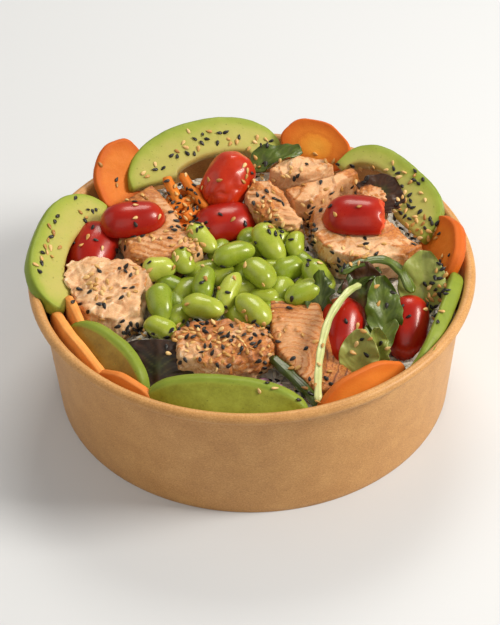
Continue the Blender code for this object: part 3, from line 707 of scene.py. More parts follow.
def makeCarrot(name, slice, finish):
    look = carrotLook
    length, width, thickness = slice["size"]
    angles = np.linspace(0, math.tau, look["around"], endpoint=False)
    seed = sum(map(ord, name)) % 40
    (fewWaves, deep), (manyWaves, shallow) = look["ragged"]
    ragged = 1 + deep * np.sin(fewWaves * angles + seed) + shallow * np.sin(manyWaves * angles + 2 * seed)
    coreFrom = look["plainFrom"] * slice["plain"]
    rows = [(share, 1.0) for share in np.linspace(0.02, 1, look["rings"])]
    for k in range(1, look["edgeSteps"]):
        angle = math.pi * k / look["edgeSteps"]
        rows.append((1 + thickness * 0.5 / length * math.sin(angle), math.cos(angle) ** 3))
    rows += [(share, -1.0) for share in np.linspace(1, 0.02, look["rings"])]
    loops, core = [], []
    for share, side in rows:
        x = share * length / 2 * np.cos(angles) * ragged * (1 - thickness * 0.4 / length)
        y = share * width / 2 * np.sin(angles) * ragged * (1 - thickness * 0.4 / width)
        z = slice["curl"] * (2 * x / length) ** 2 + side * thickness / 2
        loops.append(np.stack([x, y, z], -1))
        core.append(np.full_like(x, max(min(share, 1.0), coreFrom)))
    points, faces = gridOf(np.array(loops))
    points = placed(points, standing(slice["at"], slice["facing"], slice["lean"], slice["roll"]))
    normals = normalsOf(points, faces)
    amount = rough(points, 8, look["unevenness"], seed) + rough(points, 2.5, 0.08, seed + 5)
    points = points + normals * amount[:, None]
    fields = {
        "fromCore": np.append(np.concatenate(core), [coreFrom] * 2),
        "pale": np.full(len(points), slice["pale"]),
    }
    finishPiece(name + "_slice", points, faces, fields, finish, "carrot", name)


def softBox(length, width, height, seed):
    # a cut stick: a box with small rounded edges, tapered and a little bent
    look = carrotSticks
    bm = bmesh.new()
    bmesh.ops.create_cube(bm, size=1.0)
    bmesh.ops.scale(bm, vec=(length, width, height), verts=bm.verts)
    corners = bm.edges[:] + bm.verts[:]
    bmesh.ops.bevel(bm, geom=corners, offset=look["bevel"], segments=2, affect="EDGES")
    long = [e for e in bm.edges if abs((e.verts[0].co - e.verts[1].co).x) > length * 0.6]
    bmesh.ops.subdivide_edges(bm, edges=long, cuts=look["cuts"], use_grid_fill=True)
    points = np.array([v.co for v in bm.verts])
    faces = [[v.index for v in face.verts] for face in bm.faces]
    bm.free()
    taper = 1 - look["taper"] * np.abs(points[:, :1] / length) * (1 + math.sin(seed))
    points[:, 1:] *= taper
    points[:, 1] += look["bow"] * np.sin(points[:, 0] / length * 3 + seed)
    points += rough(points, 3, 0.3, seed)[:, None]
    return points, faces


def ellipsoid(size, steps, around):
    # a rounded form along X, of a length, width and height
    angles = np.linspace(0, math.pi, steps + 2)[1:-1]
    turn = np.linspace(0, math.tau, around, endpoint=False)
    loops = np.empty((steps, around, 3))
    loops[..., 0] = -np.cos(angles)[:, None] * size[0] / 2
    loops[..., 1] = np.sin(angles)[:, None] * np.cos(turn) * size[1] / 2
    loops[..., 2] = np.sin(angles)[:, None] * np.sin(turn) * size[2] / 2
    points, faces = gridOf(loops)
    points[-2] = (-size[0] / 2, 0, 0)
    points[-1] = (size[0] / 2, 0, 0)
    return points, faces


def makeSticks(finish):
    parts = []
    for number, (x, y, z, turn, rise, length) in enumerate(carrotSticks["rows"]):
        points, faces = softBox(length, carrotSticks["side"], carrotSticks["depth"], number)
        points = placed(points, lying((x, y, z), turn, rise, 17 * number))
        core = np.full(len(points), 0.5 + 0.08 * (number % 6))
        parts.append((points, faces, {"fromCore": core, "pale": core * 0}))
    centre, radii = carrotSticks["core"]
    points, faces = ellipsoid([2 * r for r in radii], 16, 24)
    core = np.full(len(points), 0.95)
    parts.append((points + np.array(centre), faces, {"fromCore": core, "pale": core * 0}))
    points, faces, fields = joined(parts)
    finishPiece("carrot_stick_heap", points, faces, fields, finish, "carrot", "carrot_sticks")


carrotFinish = carrotFlesh()
for sliceName, sliceValues in carrots.items():
    makeCarrot(sliceName, sliceValues, carrotFinish)
makeSticks(carrotFinish)
print("stage: carrot")


# soya beans

beanLook = {
    "depth": 0.8,
    "steps": 20,
    "around": 22,
    "crease": 0.56,
    "fuller": 0.14,
    "uneven": 0.16,
    "flatSide": 0.85,
    # height under which a bean is given a darker tone, as painted shade for the beans lying under the others
    "shadedBelow": 56,
    "seed": 3,
}
beanRows = (
    # x, y, z, turn, rise, length, width
    (-7, 6, 61, 25, 0, 19, 11.5), (8, 13, 61, 120, 22, 20, 12.5), (3, -7, 61, -50, -8, 17, 12.5),
    (-20, -25, 59, -20, 0, 18, 12), (0, -26, 58, -50, -8, 19, 12), (-37, -20, 58, 97, 16, 18, 12),
    (-19, -11, 60, 80, 12, 17, 10), (-9, -15, 59, 68, 16, 19, 9.5), (21, -17, 58, 25, 6, 17, 12),
    (28, -5, 57, 122, 14, 19, 12), (-38, 0, 59, 10, 0, 15, 12), (-28, 4, 60, 105, 8, 14, 10),
    (-20, 17, 61, 125, 12, 18, 10), (19, 15, 58.5, 85, 10, 14, 9), (13, 22, 57, 60, 8, 14, 10),
    (15, 1, 56, 30, 0, 15, 12), (-27, -9, 54, 60, 0, 16, 11), (-37, -32, 54, -35, 0, 16, 11),
    (-29, -23, 53, 40, 0, 15, 11), (5, -15, 54, -10, 0, 15, 11), (12, -10, 54, 70, 0, 15, 12),
    (-33, -6, 54, -20, 0, 15, 11), (-12, 0, 54, 30, 0, 14, 10), (9, 3, 55, 0, 0, 14, 10),
    (-13, 15, 55, 70, 0, 14, 10), (-1, 23, 56, 80, 0, 13, 9), (-7, -24, 52.5, -60, 0, 16, 10),
    (15, 17, 53.5, 60, 0, 15, 11), (0, 14, 55, 20, 0, 14, 10), (22, -9, 53, 100, 0, 14, 10),
    (-20, 3, 54.5, 10, 0, 15, 11), (-18, -20, 54, 120, 0, 15, 11), (-2, 2, 54.5, 100, 0, 15, 11),
    (-25, 11, 54, 60, 0, 14, 10), (8, -22, 53, 30, 0, 15, 11), (-5, -10, 54.5, 10, 0, 15, 10),
    (26, 3, 53, 40, 0, 14, 11), (-31, -15, 52.5, 110, 0, 15, 11), (22, 8, 54, 130, 0, 13, 10),
)


def beanSkin():
    finish = Finish(
        "beanSkin", roughness=0.3, subsurface=0.1, glow=(0.6, 1.0, 0.2), coat=0.3, coatRoughness=0.16
    )
    tone, ends = finish.field("tone"), finish.field("ends")
    drift = finish.clouds(5, detail=3)
    fine = finish.clouds(0.7, detail=3, roughness=0.6)
    shade = tone * 0.62 + drift * 0.38 + (fine - 0.5) * 0.1
    skin = finish.ramp(
        shade,
        [
            (0.15, srgb(104, 126, 28)), (0.38, srgb(134, 154, 40)), (0.6, srgb(160, 174, 56)),
            (0.85, srgb(186, 196, 84)),
        ],
    )
    colour = finish.blend(finish.step(ends, 0.72, 1.0) * 0.45, skin, srgb(186, 200, 96))
    finish.feed("Base Color", colour)
    finish.feed("Roughness", 0.2 + fine * 0.18)
    finish.bump(drift * 0.7 + fine * 0.3, 0.25, 0.35)
    return finish


def makeBeans(finish):
    look = beanLook
    parts = []
    draw = random.Random(look["seed"])
    for number, (x, y, z, turn, rise, length, width) in enumerate(beanRows):
        points, faces = ellipsoid((length, width, width * look["depth"]), look["steps"], look["around"])
        share = points[:, 0] / length * 2
        fuller = 1 + look["fuller"] * np.abs(share) * (1 - np.abs(share) ** 4)
        fat = (1 + look["uneven"] * share * math.sin(number * 1.7)) * fuller
        points[:, 1:] *= fat[:, None]
        side = points[:, 1] < 0
        points[side, 1] *= look["flatSide"]
        dip = np.exp(-((share * 2.2) ** 2)) * smoothstep(-points[:, 1], width * 0.2, width * 0.45)
        points[:, 1] += look["crease"] * dip
        points += rough(points, 6, 0.35, number)[:, None]
        # painted shade: beans in the lower layer get a darker tone
        tone = np.full(len(points), 0.25 + 0.7 * draw.random()) - 0.2 * (z < look["shadedBelow"])
        seat = lying((x, y, z), turn, rise)
        parts.append((placed(points, seat), faces, {"tone": tone, "ends": np.abs(share)}))
    points, faces, fields = joined(parts)
    finishPiece("edamame_heap", points, faces, fields, finish, "bean", "edamame")


makeBeans(beanSkin())
print("stage: soya beans")


# tomatoes

tomatoLook = {"steps": 64, "around": 72, "cut": -0.8, "blunt": 0.32, "unevenness": 0.35, "fold": 0.55}
tomatoes = {
    # lay: turn, rise and roll; torn: how far out along the fruit its open end starts
    "tomato_left": {"at": (-67, 19, 52), "lay": (72, 16, -18), "size": (30, 22), "half": True},
    "tomato_on_salmon_left": {"at": (-50, 27, 62.5), "lay": (12, 0, 0), "size": (28, 18), "half": True},
    "tomato_back": {
        "at": (-9.5, 51, 64), "lay": (58, 28, 0), "size": (28, 21), "half": False, "wrinkled": 1.0,
    },
    "tomato_middle": {"at": (-11, 33, 53), "lay": (18, 0, -14), "size": (28, 23), "half": True},
    "tomato_on_salmon_right": {
        "at": (45, 23, 63.5), "lay": (-6, 0, -10), "size": (29, 22), "half": True, "torn": 0.66,
    },
    "tomato_front": {"at": (36, -30, 48), "lay": (80, 32, 0), "size": (30, 19), "half": True},
    "tomato_right": {"at": (63, -28, 48), "lay": (78, 32, 0), "size": (28, 17), "half": True},
}


def tomatoSkin():
    finish = Finish(
        "tomatoSkin", subsurface=0.04, glow=(1.0, 0.2, 0.1), coat=0.22, coatRoughness=0.13, gloss=0.3
    )
    ripe, torn = finish.field("ripe"), finish.field("torn")
    drift = finish.clouds(8, detail=3)
    fine = finish.clouds(0.9, detail=4, roughness=0.6)
    streak = finish.clouds(1.6, detail=3, place=finish.stretched((0.35, 1.0, 1.0)))
    skin = finish.ramp(
        ripe * 0.6 + drift * 0.35 + (fine - 0.5) * 0.1,
        [
            (0.2, srgb(124, 10, 4)), (0.45, srgb(158, 22, 8)), (0.7, srgb(190, 50, 16)),
            (0.95, srgb(212, 100, 40)),
        ],
    )
    flesh = finish.ramp(fine * 0.5 + streak * 0.5, [(0.3, srgb(196, 52, 30)), (0.6, srgb(226, 96, 62))])
    finish.feed("Base Color", finish.blend(torn, skin, flesh))
    finish.feed("Roughness", 0.22 + fine * 0.16 + torn * 0.15)
    finish.bump(fine * 0.3 + drift * 0.7, 0.18, 0.25)
    return finish


def makeTomato(name, fruit, finish):
    look = tomatoLook
    length, width = fruit["size"]
    seed = sum(map(ord, name)) % 30
    points, faces = ellipsoid((1, 1, 1), look["steps"], look["around"])
    reach = np.abs(points[:, :1])
    blunt = 1 + look["blunt"] * (2 * reach) ** 2 * np.sqrt(np.maximum(0, 1 - (2 * reach) ** 6))
    points[:, 1:] *= blunt
    points *= np.array((length, width, width))
    wrinkled = fruit.get("wrinkled", 0.0)
    normals = normalsOf(points, faces)
    amount = rough(points, 10, look["unevenness"], seed)
    if wrinkled:
        bent = points * np.array((0.4, 1, 1))
        folds = 1 - np.abs(rough(bent, 4.2, 2.0, seed))
        fold = smoothstep(folds, 0.5, 1.0) * smoothstep(-points[:, 0], -6, 8)
        amount = amount - look["fold"] * wrinkled * fold + rough(points, 5, 0.5, seed + 2)
    points = points + normals * amount[:, None]
    torn = np.zeros(len(points))
    if "torn" in fruit:
        limit = fruit["torn"] * length / 2 + rough(points * np.array((0, 1, 1)), 5, 1.6, seed, 3)
        beyond = points[:, 0] - limit
        torn = smoothstep(beyond, -0.5, 0.3)
        points[:, 0] = np.where(beyond > 0, limit + beyond * 0.18, points[:, 0])
        pulp = torn * (rough(points, 3, 1.0, seed + 4) + 0.2)
        points[:, 0] += pulp
    if fruit["half"]:
        points[:, 2] = np.maximum(points[:, 2], look["cut"])
    ripe = 0.45 + 0.25 * np.abs(points[:, 0] / length * 2) ** 3 + 0.3 * wrinkled
    points = placed(points, lying(fruit["at"], *fruit["lay"]))
    finishPiece(name + "_fruit", points, faces, {"ripe": ripe, "torn": torn}, finish, "tomato", name)


tomatoFinish = tomatoSkin()
for fruitName, fruitValues in tomatoes.items():
    makeTomato(fruitName, fruitValues, tomatoFinish)
print("stage: tomatoes")


# flaked salmon

salmonLook = {
    # warps: size and amount of the waves that bend the layers; ringWarp: how much of them rings keep
    # seam: where in a layer its brown line starts, is full and ends; rawBelow: depth at which browning ends
    "voxel": 0.58,
    "smoothing": 2,
    "deepest": -1.7,
    "proudest": 1.0,
    "warps": ((16, 7.0), (6, 2.2), (2.4, 0.8)),
    "ringWarp": 0.35,
    "seam": (0.6, 0.85, 0.9),
    "lumpSizes": (9, 3.2),
    "smallLumps": 0.35,
    "grit": (1.3, 0.1),
    "crumbWarp": (7, 2.0),
    "rawBelow": 8,
}
salmon = {
    # flakes: direction across the layers (compass, rise), spacing, height; crumbs: size, height
    # brown: overall and spots (x, y, radius, amount); tan: browner between the layers
    # rings: middle of rounded layers
    "salmon_left": {
        "flakes": (300, 35, 4.6, 0.9), "crumbs": (7.0, 0.75), "lumps": 1.2, "brown": -0.05,
        "spots": ((-56, -2, 12, 0.3), (-45, -10, 7, 0.3), (-70, 4, 6, 0.2)),
    },
    "salmon_back_left": {
        "flakes": (250, 8, 3.6, 0.35), "crumbs": (7.0, 0.0), "lumps": 0.3, "brown": 0.3, "tan": 0.45,
        "spots": (
            (-54, 42, 9, 0.9), (-40, 50, 7, 0.5), (-34, 12, 9, 0.25), (-50, 10, 8, 0.2), (-22, 8, 6, -0.4),
            (-26, 40, 5, -0.8), (-22, 24, 5, -0.5),
        ),
    },
    "salmon_middle": {
        "flakes": (225, 30, 3.4, 0.9), "crumbs": (6.0, 0.4), "lumps": 0.8, "brown": 0.12, "tan": 0.6,
        "spots": ((6, 30, 6, 0.9), (2, 46, 5, 0.5), (14, 40, 5, 0.4), (18, 23, 5, -0.2)),
    },
    "salmon_back": {
        "flakes": (200, 45, 4.0, 0.7), "crumbs": (7.0, 0.1), "lumps": 0.5, "brown": 0.08, "tan": 0.2,
        "spots": ((31, 60, 5, 0.4), (12, 64, 6, 0.35)),
    },
    "salmon_back_right": {
        "flakes": (150, 20, 6.5, 0.8), "crumbs": (7.0, 0.0), "lumps": 0.4, "brown": 0.1, "tan": 0.4,
        "spots": ((46, 54, 6, 0.9), (20, 46, 6, 0.55), (38, 48, 4, -0.3)),
    },
    "salmon_right": {
        "flakes": (105, 12, 6.0, 0.9), "crumbs": (8.0, 0.15), "lumps": 0.5, "brown": 0.08,
        "spots": (
            (26, 27, 7, 0.7), (67, 4, 6, 0.9), (59, 16, 6, 0.7), (38, 12, 7, 0.25), (44, 0, 6, 0.35),
            (30, 12, 5, 0.4), (50, 8, 5, -0.2),
        ),
    },
    "salmon_small": {
        "flakes": (60, 20, 3.0, 0.8), "crumbs": (4.0, 0.5), "lumps": 0.5, "brown": 0.3,
        "spots": ((50, 44, 4, 0.8),),
    },
    "salmon_front": {
        "flakes": (265, 50, 3.4, 0.9), "crumbs": (5.5, 0.7), "lumps": 0.8, "brown": 0.5,
        "spots": (
            (-20, -36, 10, 0.4), (0, -52, 10, 0.5), (-27, -50, 6, -0.5), (4, -40, 6, -0.3),
            (-8, -44, 5, -0.3),
        ),
    },
    "salmon_front_right": {
        "flakes": (190, 15, 2.7, 0.6), "crumbs": (6.0, 0.0), "lumps": 0.5, "brown": 0.4, "tan": 1.0,
        "rings": (14, -53, 52),
        "spots": (
            (12, -22, 7, 0.6), (28, -48, 6, 0.6), (34, -62, 8, 0.7), (14, -38, 6, -0.5), (17, -50, 5, -0.3),
        ),
    },
}


def roundness(points, faces, passes=5):
    # how far each point stands proud of its surroundings, about 1 on a sharp ridge and -1 in a crease
    rims = np.array([(face[k - 1], face[k]) for face in faces for k in range(len(face))])
    count = np.bincount(rims[:, 0], minlength=len(points)) + np.bincount(rims[:, 1], minlength=len(points))
    even = points.copy()
    for _ in range(passes):
        total = np.stack([
            np.bincount(rims[:, 0], even[rims[:, 1], axis], len(points))
            + np.bincount(rims[:, 1], even[rims[:, 0], axis], len(points))
            for axis in range(3)
        ], -1)
        even = total / np.maximum(count, 1)[:, None]
    return ((points - even) * normalsOf(points, faces)).sum(1)


def salmonFlesh():
    finish = Finish("salmonFlesh", subsurface=0.12, glow=(1.0, 0.45, 0.25))
    fat, sear = finish.field("fat"), finish.field("sear")
    deep, tan = finish.field("deep"), finish.field("tan")
    drift = finish.clouds(6, detail=4)
    patch = finish.clouds(3.2, detail=5, roughness=0.65, distortion=0.6)
    fine = finish.clouds(0.8, detail=5, roughness=0.7)
    grain = finish.clouds(1.4, detail=4, roughness=0.65, place=finish.stretched((1.0, 1.8, 1.0)))
    flesh = finish.ramp(
        drift * 0.35 + patch * 0.35 + fine * 0.3,
        [
            (0.3, srgb(194, 132, 88)), (0.42, srgb(216, 164, 116)), (0.55, srgb(232, 192, 148)),
            (0.7, srgb(244, 216, 180)),
        ],
    )
    seared = finish.ramp(
        grain * 0.4 + fine * 0.3 + patch * 0.3,
        [
            (0.32, srgb(112, 54, 20)), (0.44, srgb(164, 92, 38)), (0.55, srgb(198, 128, 62)),
            (0.7, srgb(226, 172, 104)),
        ],
    )
    browning = finish.step(sear + (patch - 0.5) * 1.7 + (fine - 0.5) * 0.6, 0.22, 0.62)
    colour = finish.blend(tan * (0.35 + grain * 0.9), flesh, srgb(198, 134, 78))
    colour = finish.blend(browning, colour, seared)
    colour = finish.blend(fat * (1 - browning * 0.7) * 0.7, colour, srgb(250, 238, 216))
    char = finish.step(sear + (grain - 0.5) * 1.6 + (fine - 0.5) * 1.2, 1.0, 1.3)
    colour = finish.blend(char * 0.75, colour, srgb(84, 38, 16))
    # painted shade: where the deep field is high, in creases, the colour is darkened towards a dull brown
    finish.feed("Base Color", finish.blend(deep * 0.6, colour, srgb(150, 84, 52)))
    finish.feed("Roughness", 0.3 + fine * 0.35)
    finish.bump(fine * 0.4 + grain * 0.6, 0.4, 0.7)
    return finish


def makeSalmon(name, chunk, finish):
    look = salmonLook
    points, faces = solidCopy(name, look["voxel"], look["smoothing"])
    normals = normalsOf(points, faces)
    seed = sum(map(ord, name)) % 60
    compass, rise, spacing, height = chunk["flakes"]
    across = Vector((
        math.cos(math.radians(compass)) * math.cos(math.radians(rise)),
        math.sin(math.radians(compass)) * math.cos(math.radians(rise)),
        math.sin(math.radians(rise)),
    ))
    warp = sum(rough(points, size, bend, seed + k) for k, (size, bend) in enumerate(look["warps"]))
    level = points @ np.array(across)
    if "rings" in chunk:
        level = np.linalg.norm((points - np.array(chunk["rings"])) * np.array((1, 1, 0.5)), axis=1)
        warp = warp * look["ringWarp"]
    layer = (level + warp) / spacing
    share = layer - np.floor(layer)
    strength = 0.55 + 0.45 * np.sin(np.floor(layer) * 2.4 + seed)
    drop = share**1.4 * (1 - smoothstep(share, 0.8, 1.0)) * 1.4
    large, small = look["lumpSizes"]
    lumps = rough(points, large, chunk["lumps"], seed + 4)
    lumps = lumps + rough(points, small, chunk["lumps"] * look["smallLumps"], seed + 5)
    amount = height * strength * (drop - 0.35) + lumps + rough(points, *look["grit"], seed + 6)
    crumbSize, crumbHeight = chunk["crumbs"]
    if crumbHeight:
        bent = (points + rough(points, *look["crumbWarp"], seed + 8)[:, None]) / crumbSize
        gaps = np.array([noise.voronoi(Vector(p))[0][:2] for p in bent.tolist()])
        amount = amount + crumbHeight * (smoothstep(gaps[:, 1] - gaps[:, 0], 0.0, 0.4) - 0.75)
    points = points + normals * np.clip(amount, look["deepest"], look["proudest"])[:, None]
    ridge = roundness(points, faces)
    middle = points.mean(0)
    tan = chunk.get("tan", 0.0)
    rising, full, falling = look["seam"]
    seam = smoothstep(share, rising, full) * (1 - smoothstep(share, falling, 1.0))
    sear = np.full(len(points), chunk["brown"]) + 0.9 * np.clip(ridge, -0.3, 0.6)
    sear = sear + 0.55 * tan * (seam - 0.25)
    for x, y, radius, add in chunk["spots"]:
        away = np.hypot(points[:, 0] - x, points[:, 1] - y)
        sear = sear + add * np.exp(-((away / radius) ** 2))
    openAir = 0.5 + 0.5 * smoothstep(normals[:, 2], -0.2, 0.5)
    sear = sear * openAir * smoothstep(points[:, 2], middle[2] - look["rawBelow"], middle[2])
    fat = smoothstep(share, 0.82, 0.95) * smoothstep(ridge, -0.1, 0.3)
    fields = {
        "fat": fat * max(0.0, 1 - tan),
        "sear": sear,
        # deep: painted shade, stronger the further a point sinks into a crease
        "deep": np.clip(-ridge * 2.2, 0, 1),
        "tan": np.full(len(points), tan * 0.8),
    }
    finishPiece(name + "_chunk", points, faces, fields, finish, "salmon", name, turned=False)


salmonFinish = salmonFlesh()
for chunkName, chunkValues in salmon.items():
    makeSalmon(chunkName, chunkValues, salmonFinish)
print("stage: salmon")


# leaves

leafLook = {
    "rows": 64,
    "columns": 36,
    "thickness": 0.55,
    "blunt": 0.75,
    "ripple": 0.45,
    "branches": 6.5,
    "branchWidth": 0.11,
    "ribWidth": 0.55,
    "swell": 0.12,
}
leaves = {
    # tint: 0 dark green, 0.5 mid green, 1 pale green; red: 1 for a red-brown leaf
    # lobes: how jagged the edge is; blunt: a lower power for a leaf that is wide to its ends
    "red_leaf_right": {
        "at": (50, 33, 59.5), "pose": (48, 30, 0), "size": (19, 23), "wave": 0.8, "fold": 0.1, "curl": 1,
        "tint": 0.25, "red": 1.0, "lobes": 0.12,
    },
    "red_leaf_front": {
        "at": (-38.5, -60, 46), "pose": (86, 30, 0), "size": (21, 38), "wave": 1.2, "fold": -0.12, "curl": 2,
        "tint": 0.05, "red": 0.8, "lobes": 0.03, "blunt": 0.4,
    },
    "spinach_back": {
        "at": (-2, 63, 60), "pose": (5, 28, 0), "size": (27, 15), "wave": 1.5, "fold": 0.4, "curl": -3,
        "tint": 0.45, "red": 0.0, "lobes": 0.02,
    },
    "spinach_right": {
        "at": (54, -37, 47), "pose": (96, 40, 0), "size": (28, 15), "wave": 1.6, "fold": 0.35, "curl": 2,
        "tint": 0.5, "red": 0.0, "lobes": 0.04,
    },
    "spinach_low": {
        "at": (47, -44, 47), "pose": (62, 20, 0), "size": (22, 13), "wave": 1.2, "fold": 0.2, "curl": 1,
        "tint": 0.6, "red": 0.0, "lobes": 0.08,
    },
    "spinach_far_right": {
        "at": (68, -20, 47), "pose": (78, 46, 0), "size": (27, 20), "wave": 1.4, "fold": 0.25, "curl": 3,
        "tint": 0.95, "red": 0.0, "lobes": 0.02,
    },
    "brown_leaf": {
        "at": (45, -20, 46), "pose": (85, 50, 0), "size": (24, 18), "wave": 1.6, "fold": 0.2, "curl": 2,
        "tint": 0.4, "red": 0.75, "lobes": 0.05,
    },
    "folded_leaf": {
        "at": (35, -15, 56.5), "pose": (22, 14, 0), "size": (20, 8), "wave": 0.8, "fold": 0.3, "curl": 0.5,
        "tint": 0.3, "red": 0.1, "lobes": 0.05,
    },
    "round_leaf": {
        "at": (41, -57, 46), "pose": (80, 62, 0), "size": (22, 16), "wave": 0.7, "fold": 0.2, "curl": 2,
        "tint": 1.15, "red": 0.0, "lobes": 0.0,
    },
    "small_leaf": {
        "at": (50, -50, 45), "pose": (96, 58, 0), "size": (18, 9), "wave": 1.2, "fold": 0.3, "curl": 2,
        "tint": 0.85, "red": 0.0, "lobes": 0.1,
    },
    "rocket_leaf": {
        "at": (27, -30, 50), "pose": (85, 38, 0), "size": (24, 10), "wave": 1.6, "fold": 0.3, "curl": 2,
        "tint": 0.35, "red": 0.0, "lobes": 0.3,
    },
}


def leafSkin(name, red):
    finish = Finish(
        name, roughness=0.42, subsurface=0.04, glow=(0.5, 1.0, 0.2), coat=0.12, coatRoughness=0.25
    )
    vein, tint, edge = finish.field("vein"), finish.field("tint"), finish.field("edge")
    drift = finish.clouds(5, detail=4)
    fine = finish.clouds(0.7, detail=4, roughness=0.65)
    shade = tint * 0.95 + (drift - 0.5) * 0.45 + (fine - 0.5) * 0.15
    green = finish.ramp(
        shade,
        [
            (0.0, srgb(24, 28, 6)), (0.3, srgb(50, 68, 12)), (0.55, srgb(86, 106, 28)),
            (0.8, srgb(132, 144, 62)), (1.0, srgb(158, 164, 88)),
        ],
    )
    colour = finish.blend(vein * 0.3, green, srgb(146, 160, 78))
    if red:
        purple = finish.ramp(
            shade,
            [
                (0.0, srgb(34, 16, 6)), (0.3, srgb(62, 32, 12)), (0.6, srgb(86, 50, 20)),
                (0.9, srgb(102, 72, 32)),
            ],
        )
        purple = finish.blend(vein * 0.3, purple, srgb(124, 84, 52))
        colour = finish.blend(finish.step(edge * 0.6 + drift * 0.6, 0.2, 0.65) * red, colour, purple)
    finish.feed("Base Color", colour)
    finish.feed("Roughness", 0.26 + fine * 0.3)
    finish.bump(fine * 0.4 + drift * 0.6, 0.3, 0.5)
    return finish


def makeLeaf(name, leaf, finish):
    look = leafLook
    length, width = leaf["size"]
    seed = sum(map(ord, name))
    along = np.linspace(0, 1, look["rows"])
    side = np.linspace(-1, 1, look["columns"])
    v, u = np.meshgrid(along, side, indexing="ij")
    blunt = leaf.get("blunt", look["blunt"])
    half = np.maximum(1.2, width / 2 * np.sin(math.pi * (0.06 + 0.9 * v)) ** blunt)
    teeth = np.sin(v * 19 + seed + 2 * (u > 0) + 2.2 * np.sin(v * 7 + seed))
    lobed = 1 + leaf["lobes"] * teeth * np.abs(u) ** 3
    x = half * u * lobed
    z = leaf["fold"] * np.abs(half * u) + leaf["curl"] * v * v
    z = z + leaf["wave"] * u * u * np.sin(seed + 9 * v + 2 * u)
    z = z + look["ripple"] * np.abs(u) ** 2 * np.sin(seed * 0.7 + 23 * v + 3 * u)
    rib = np.exp(-((half * u / look["ribWidth"]) ** 2)) * (1 - 0.6 * v)
    slant = v - 0.42 * np.abs(u) ** 0.8 + 0.03 * np.sin(9 * u + seed) + 0.02 * (u > 0)
    slant = slant * look["branches"]
    branch = np.exp(-(((slant - np.round(slant)) / look["branchWidth"]) ** 2))
    branch = branch * smoothstep(np.abs(u), 0.02, 0.12) * (1 - np.abs(u) ** 4)
    vein = np.clip(rib + 0.6 * branch, 0, 1)
    swell = look["swell"] * np.cos(math.pi * 2 * (slant - np.round(slant)))
    swell = swell * smoothstep(np.abs(u), 0.0, 0.35)
    mid = np.stack([x, length * v, z - swell], -1)
    thick = look["thickness"] / 2 * (1 + 0.9 * vein)
    top = mid.copy()
    top[..., 2] += thick
    under = mid.copy()
    under[..., 2] -= thick
    count = look["rows"] * look["columns"]
    points = np.vstack([top.reshape(-1, 3), under.reshape(-1, 3)])
    faces = []
    wide = look["columns"]
    for row in range(look["rows"] - 1):
        for column in range(wide - 1):
            a = row * wide + column
            faces.append([a, a + 1, a + wide + 1, a + wide])
            faces.append([count + a, count + a + wide, count + a + wide + 1, count + a + 1])
    border = list(range(wide)) + [r * wide + wide - 1 for r in range(1, look["rows"])]
    border += [(look["rows"] - 1) * wide + c for c in range(wide - 2, -1, -1)]
    border += [r * wide for r in range(look["rows"] - 2, 0, -1)]
    for first, second in zip(border, border[1:] + border[:1]):
        faces.append([second, first, count + first, count + second])
    crumple = rough(np.vstack([mid.reshape(-1, 3)] * 2), 7, leaf["wave"] * 0.55, seed % 23, 2)
    points[:, 2] += crumple
    points = placed(points, standing(leaf["at"], *leaf["pose"]))
    edge = np.tile(np.maximum(np.abs(u), np.abs(2 * v - 1)).reshape(-1), 2)
    fields = {
        "vein": np.tile(vein.reshape(-1), 2),
        "tint": np.full(len(points), leaf["tint"]),
        "edge": edge,
    }
    slotName = "red_leaf" if name.startswith(("red", "brown")) else "green_leaf"
    finishPiece(name + "_blade", points, faces, fields, finish, slotName, name)


greenLeaf, redLeaf = leafSkin("greenLeaf", 0.0), leafSkin("redLeaf", 1.0)
for leafName, leafValues in leaves.items():
    makeLeaf(leafName, leafValues, redLeaf if leafValues["red"] > 0.5 else greenLeaf)
print("stage: leaves")


# stems and shredded cabbage

stemLook = {"around": 20, "stepsPerLeg": 14, "swell": 0.08, "ribs": (0.08, 0.03), "groove": 0.28}
stems = {
    "pale_stem": {
        "path": (
            (44, -17, 62.5), (38, -24, 64), (31, -36, 62.5), (27, -50, 60), (25, -64, 57.5), (24.5, -76, 54),
        ),
        "radius": 1.5, "flat": 0.85, "tint": 0.98,
    },
    "green_stem": {
        "path": ((36, -10, 63), (44, -6, 64.5), (54, -4, 64.5), (61, -9, 62.5), (65, -20, 60)),
        "radius": 2.2, "flat": 0.5, "tint": 0.22,
    },
    "front_stem": {
        "path": ((7, -49, 53), (15, -59, 51.5), (23, -69, 49), (27, -75, 47)),
        "radius": 2.3, "flat": 0.75, "tint": 0.08,
    },
}
shreds = {
    "rows": (
        # x, y, z, turn, rise, length
        (-2, -61, 48, 8, 2, 20), (3, -62, 49.5, -14, 4, 16), (0, -59, 46.8, 40, 0, 14),
        (-4, -60, 47, -24, 0, 13),
    ),
    "width": 3.2,
    "height": 1.7,
    "bow": 1.6,
    "steps": 36,
    "around": 16,
}


def stemSkin():
    finish = Finish(
        "stemSkin", roughness=0.3, subsurface=0.12, glow=(0.6, 1.0, 0.3), coat=0.3, coatRoughness=0.15
    )
    tint, along = finish.field("tint"), finish.field("along")
    drift = finish.clouds(4, detail=3)
    fine = finish.clouds(0.7, detail=3)
    colour = finish.ramp(
        tint * 0.8 + (drift - 0.5) * 0.3 + along * 0.12,
        [
            (0.1, srgb(56, 72, 16)), (0.35, srgb(98, 118, 36)), (0.6, srgb(152, 172, 84)),
            (0.95, srgb(208, 212, 152)),
        ],
    )
    finish.feed("Base Color", colour)
    finish.feed("Roughness", 0.22 + fine * 0.2)
    finish.bump(fine * 0.5 + drift * 0.5, 0.15, 0.4)
    return finish


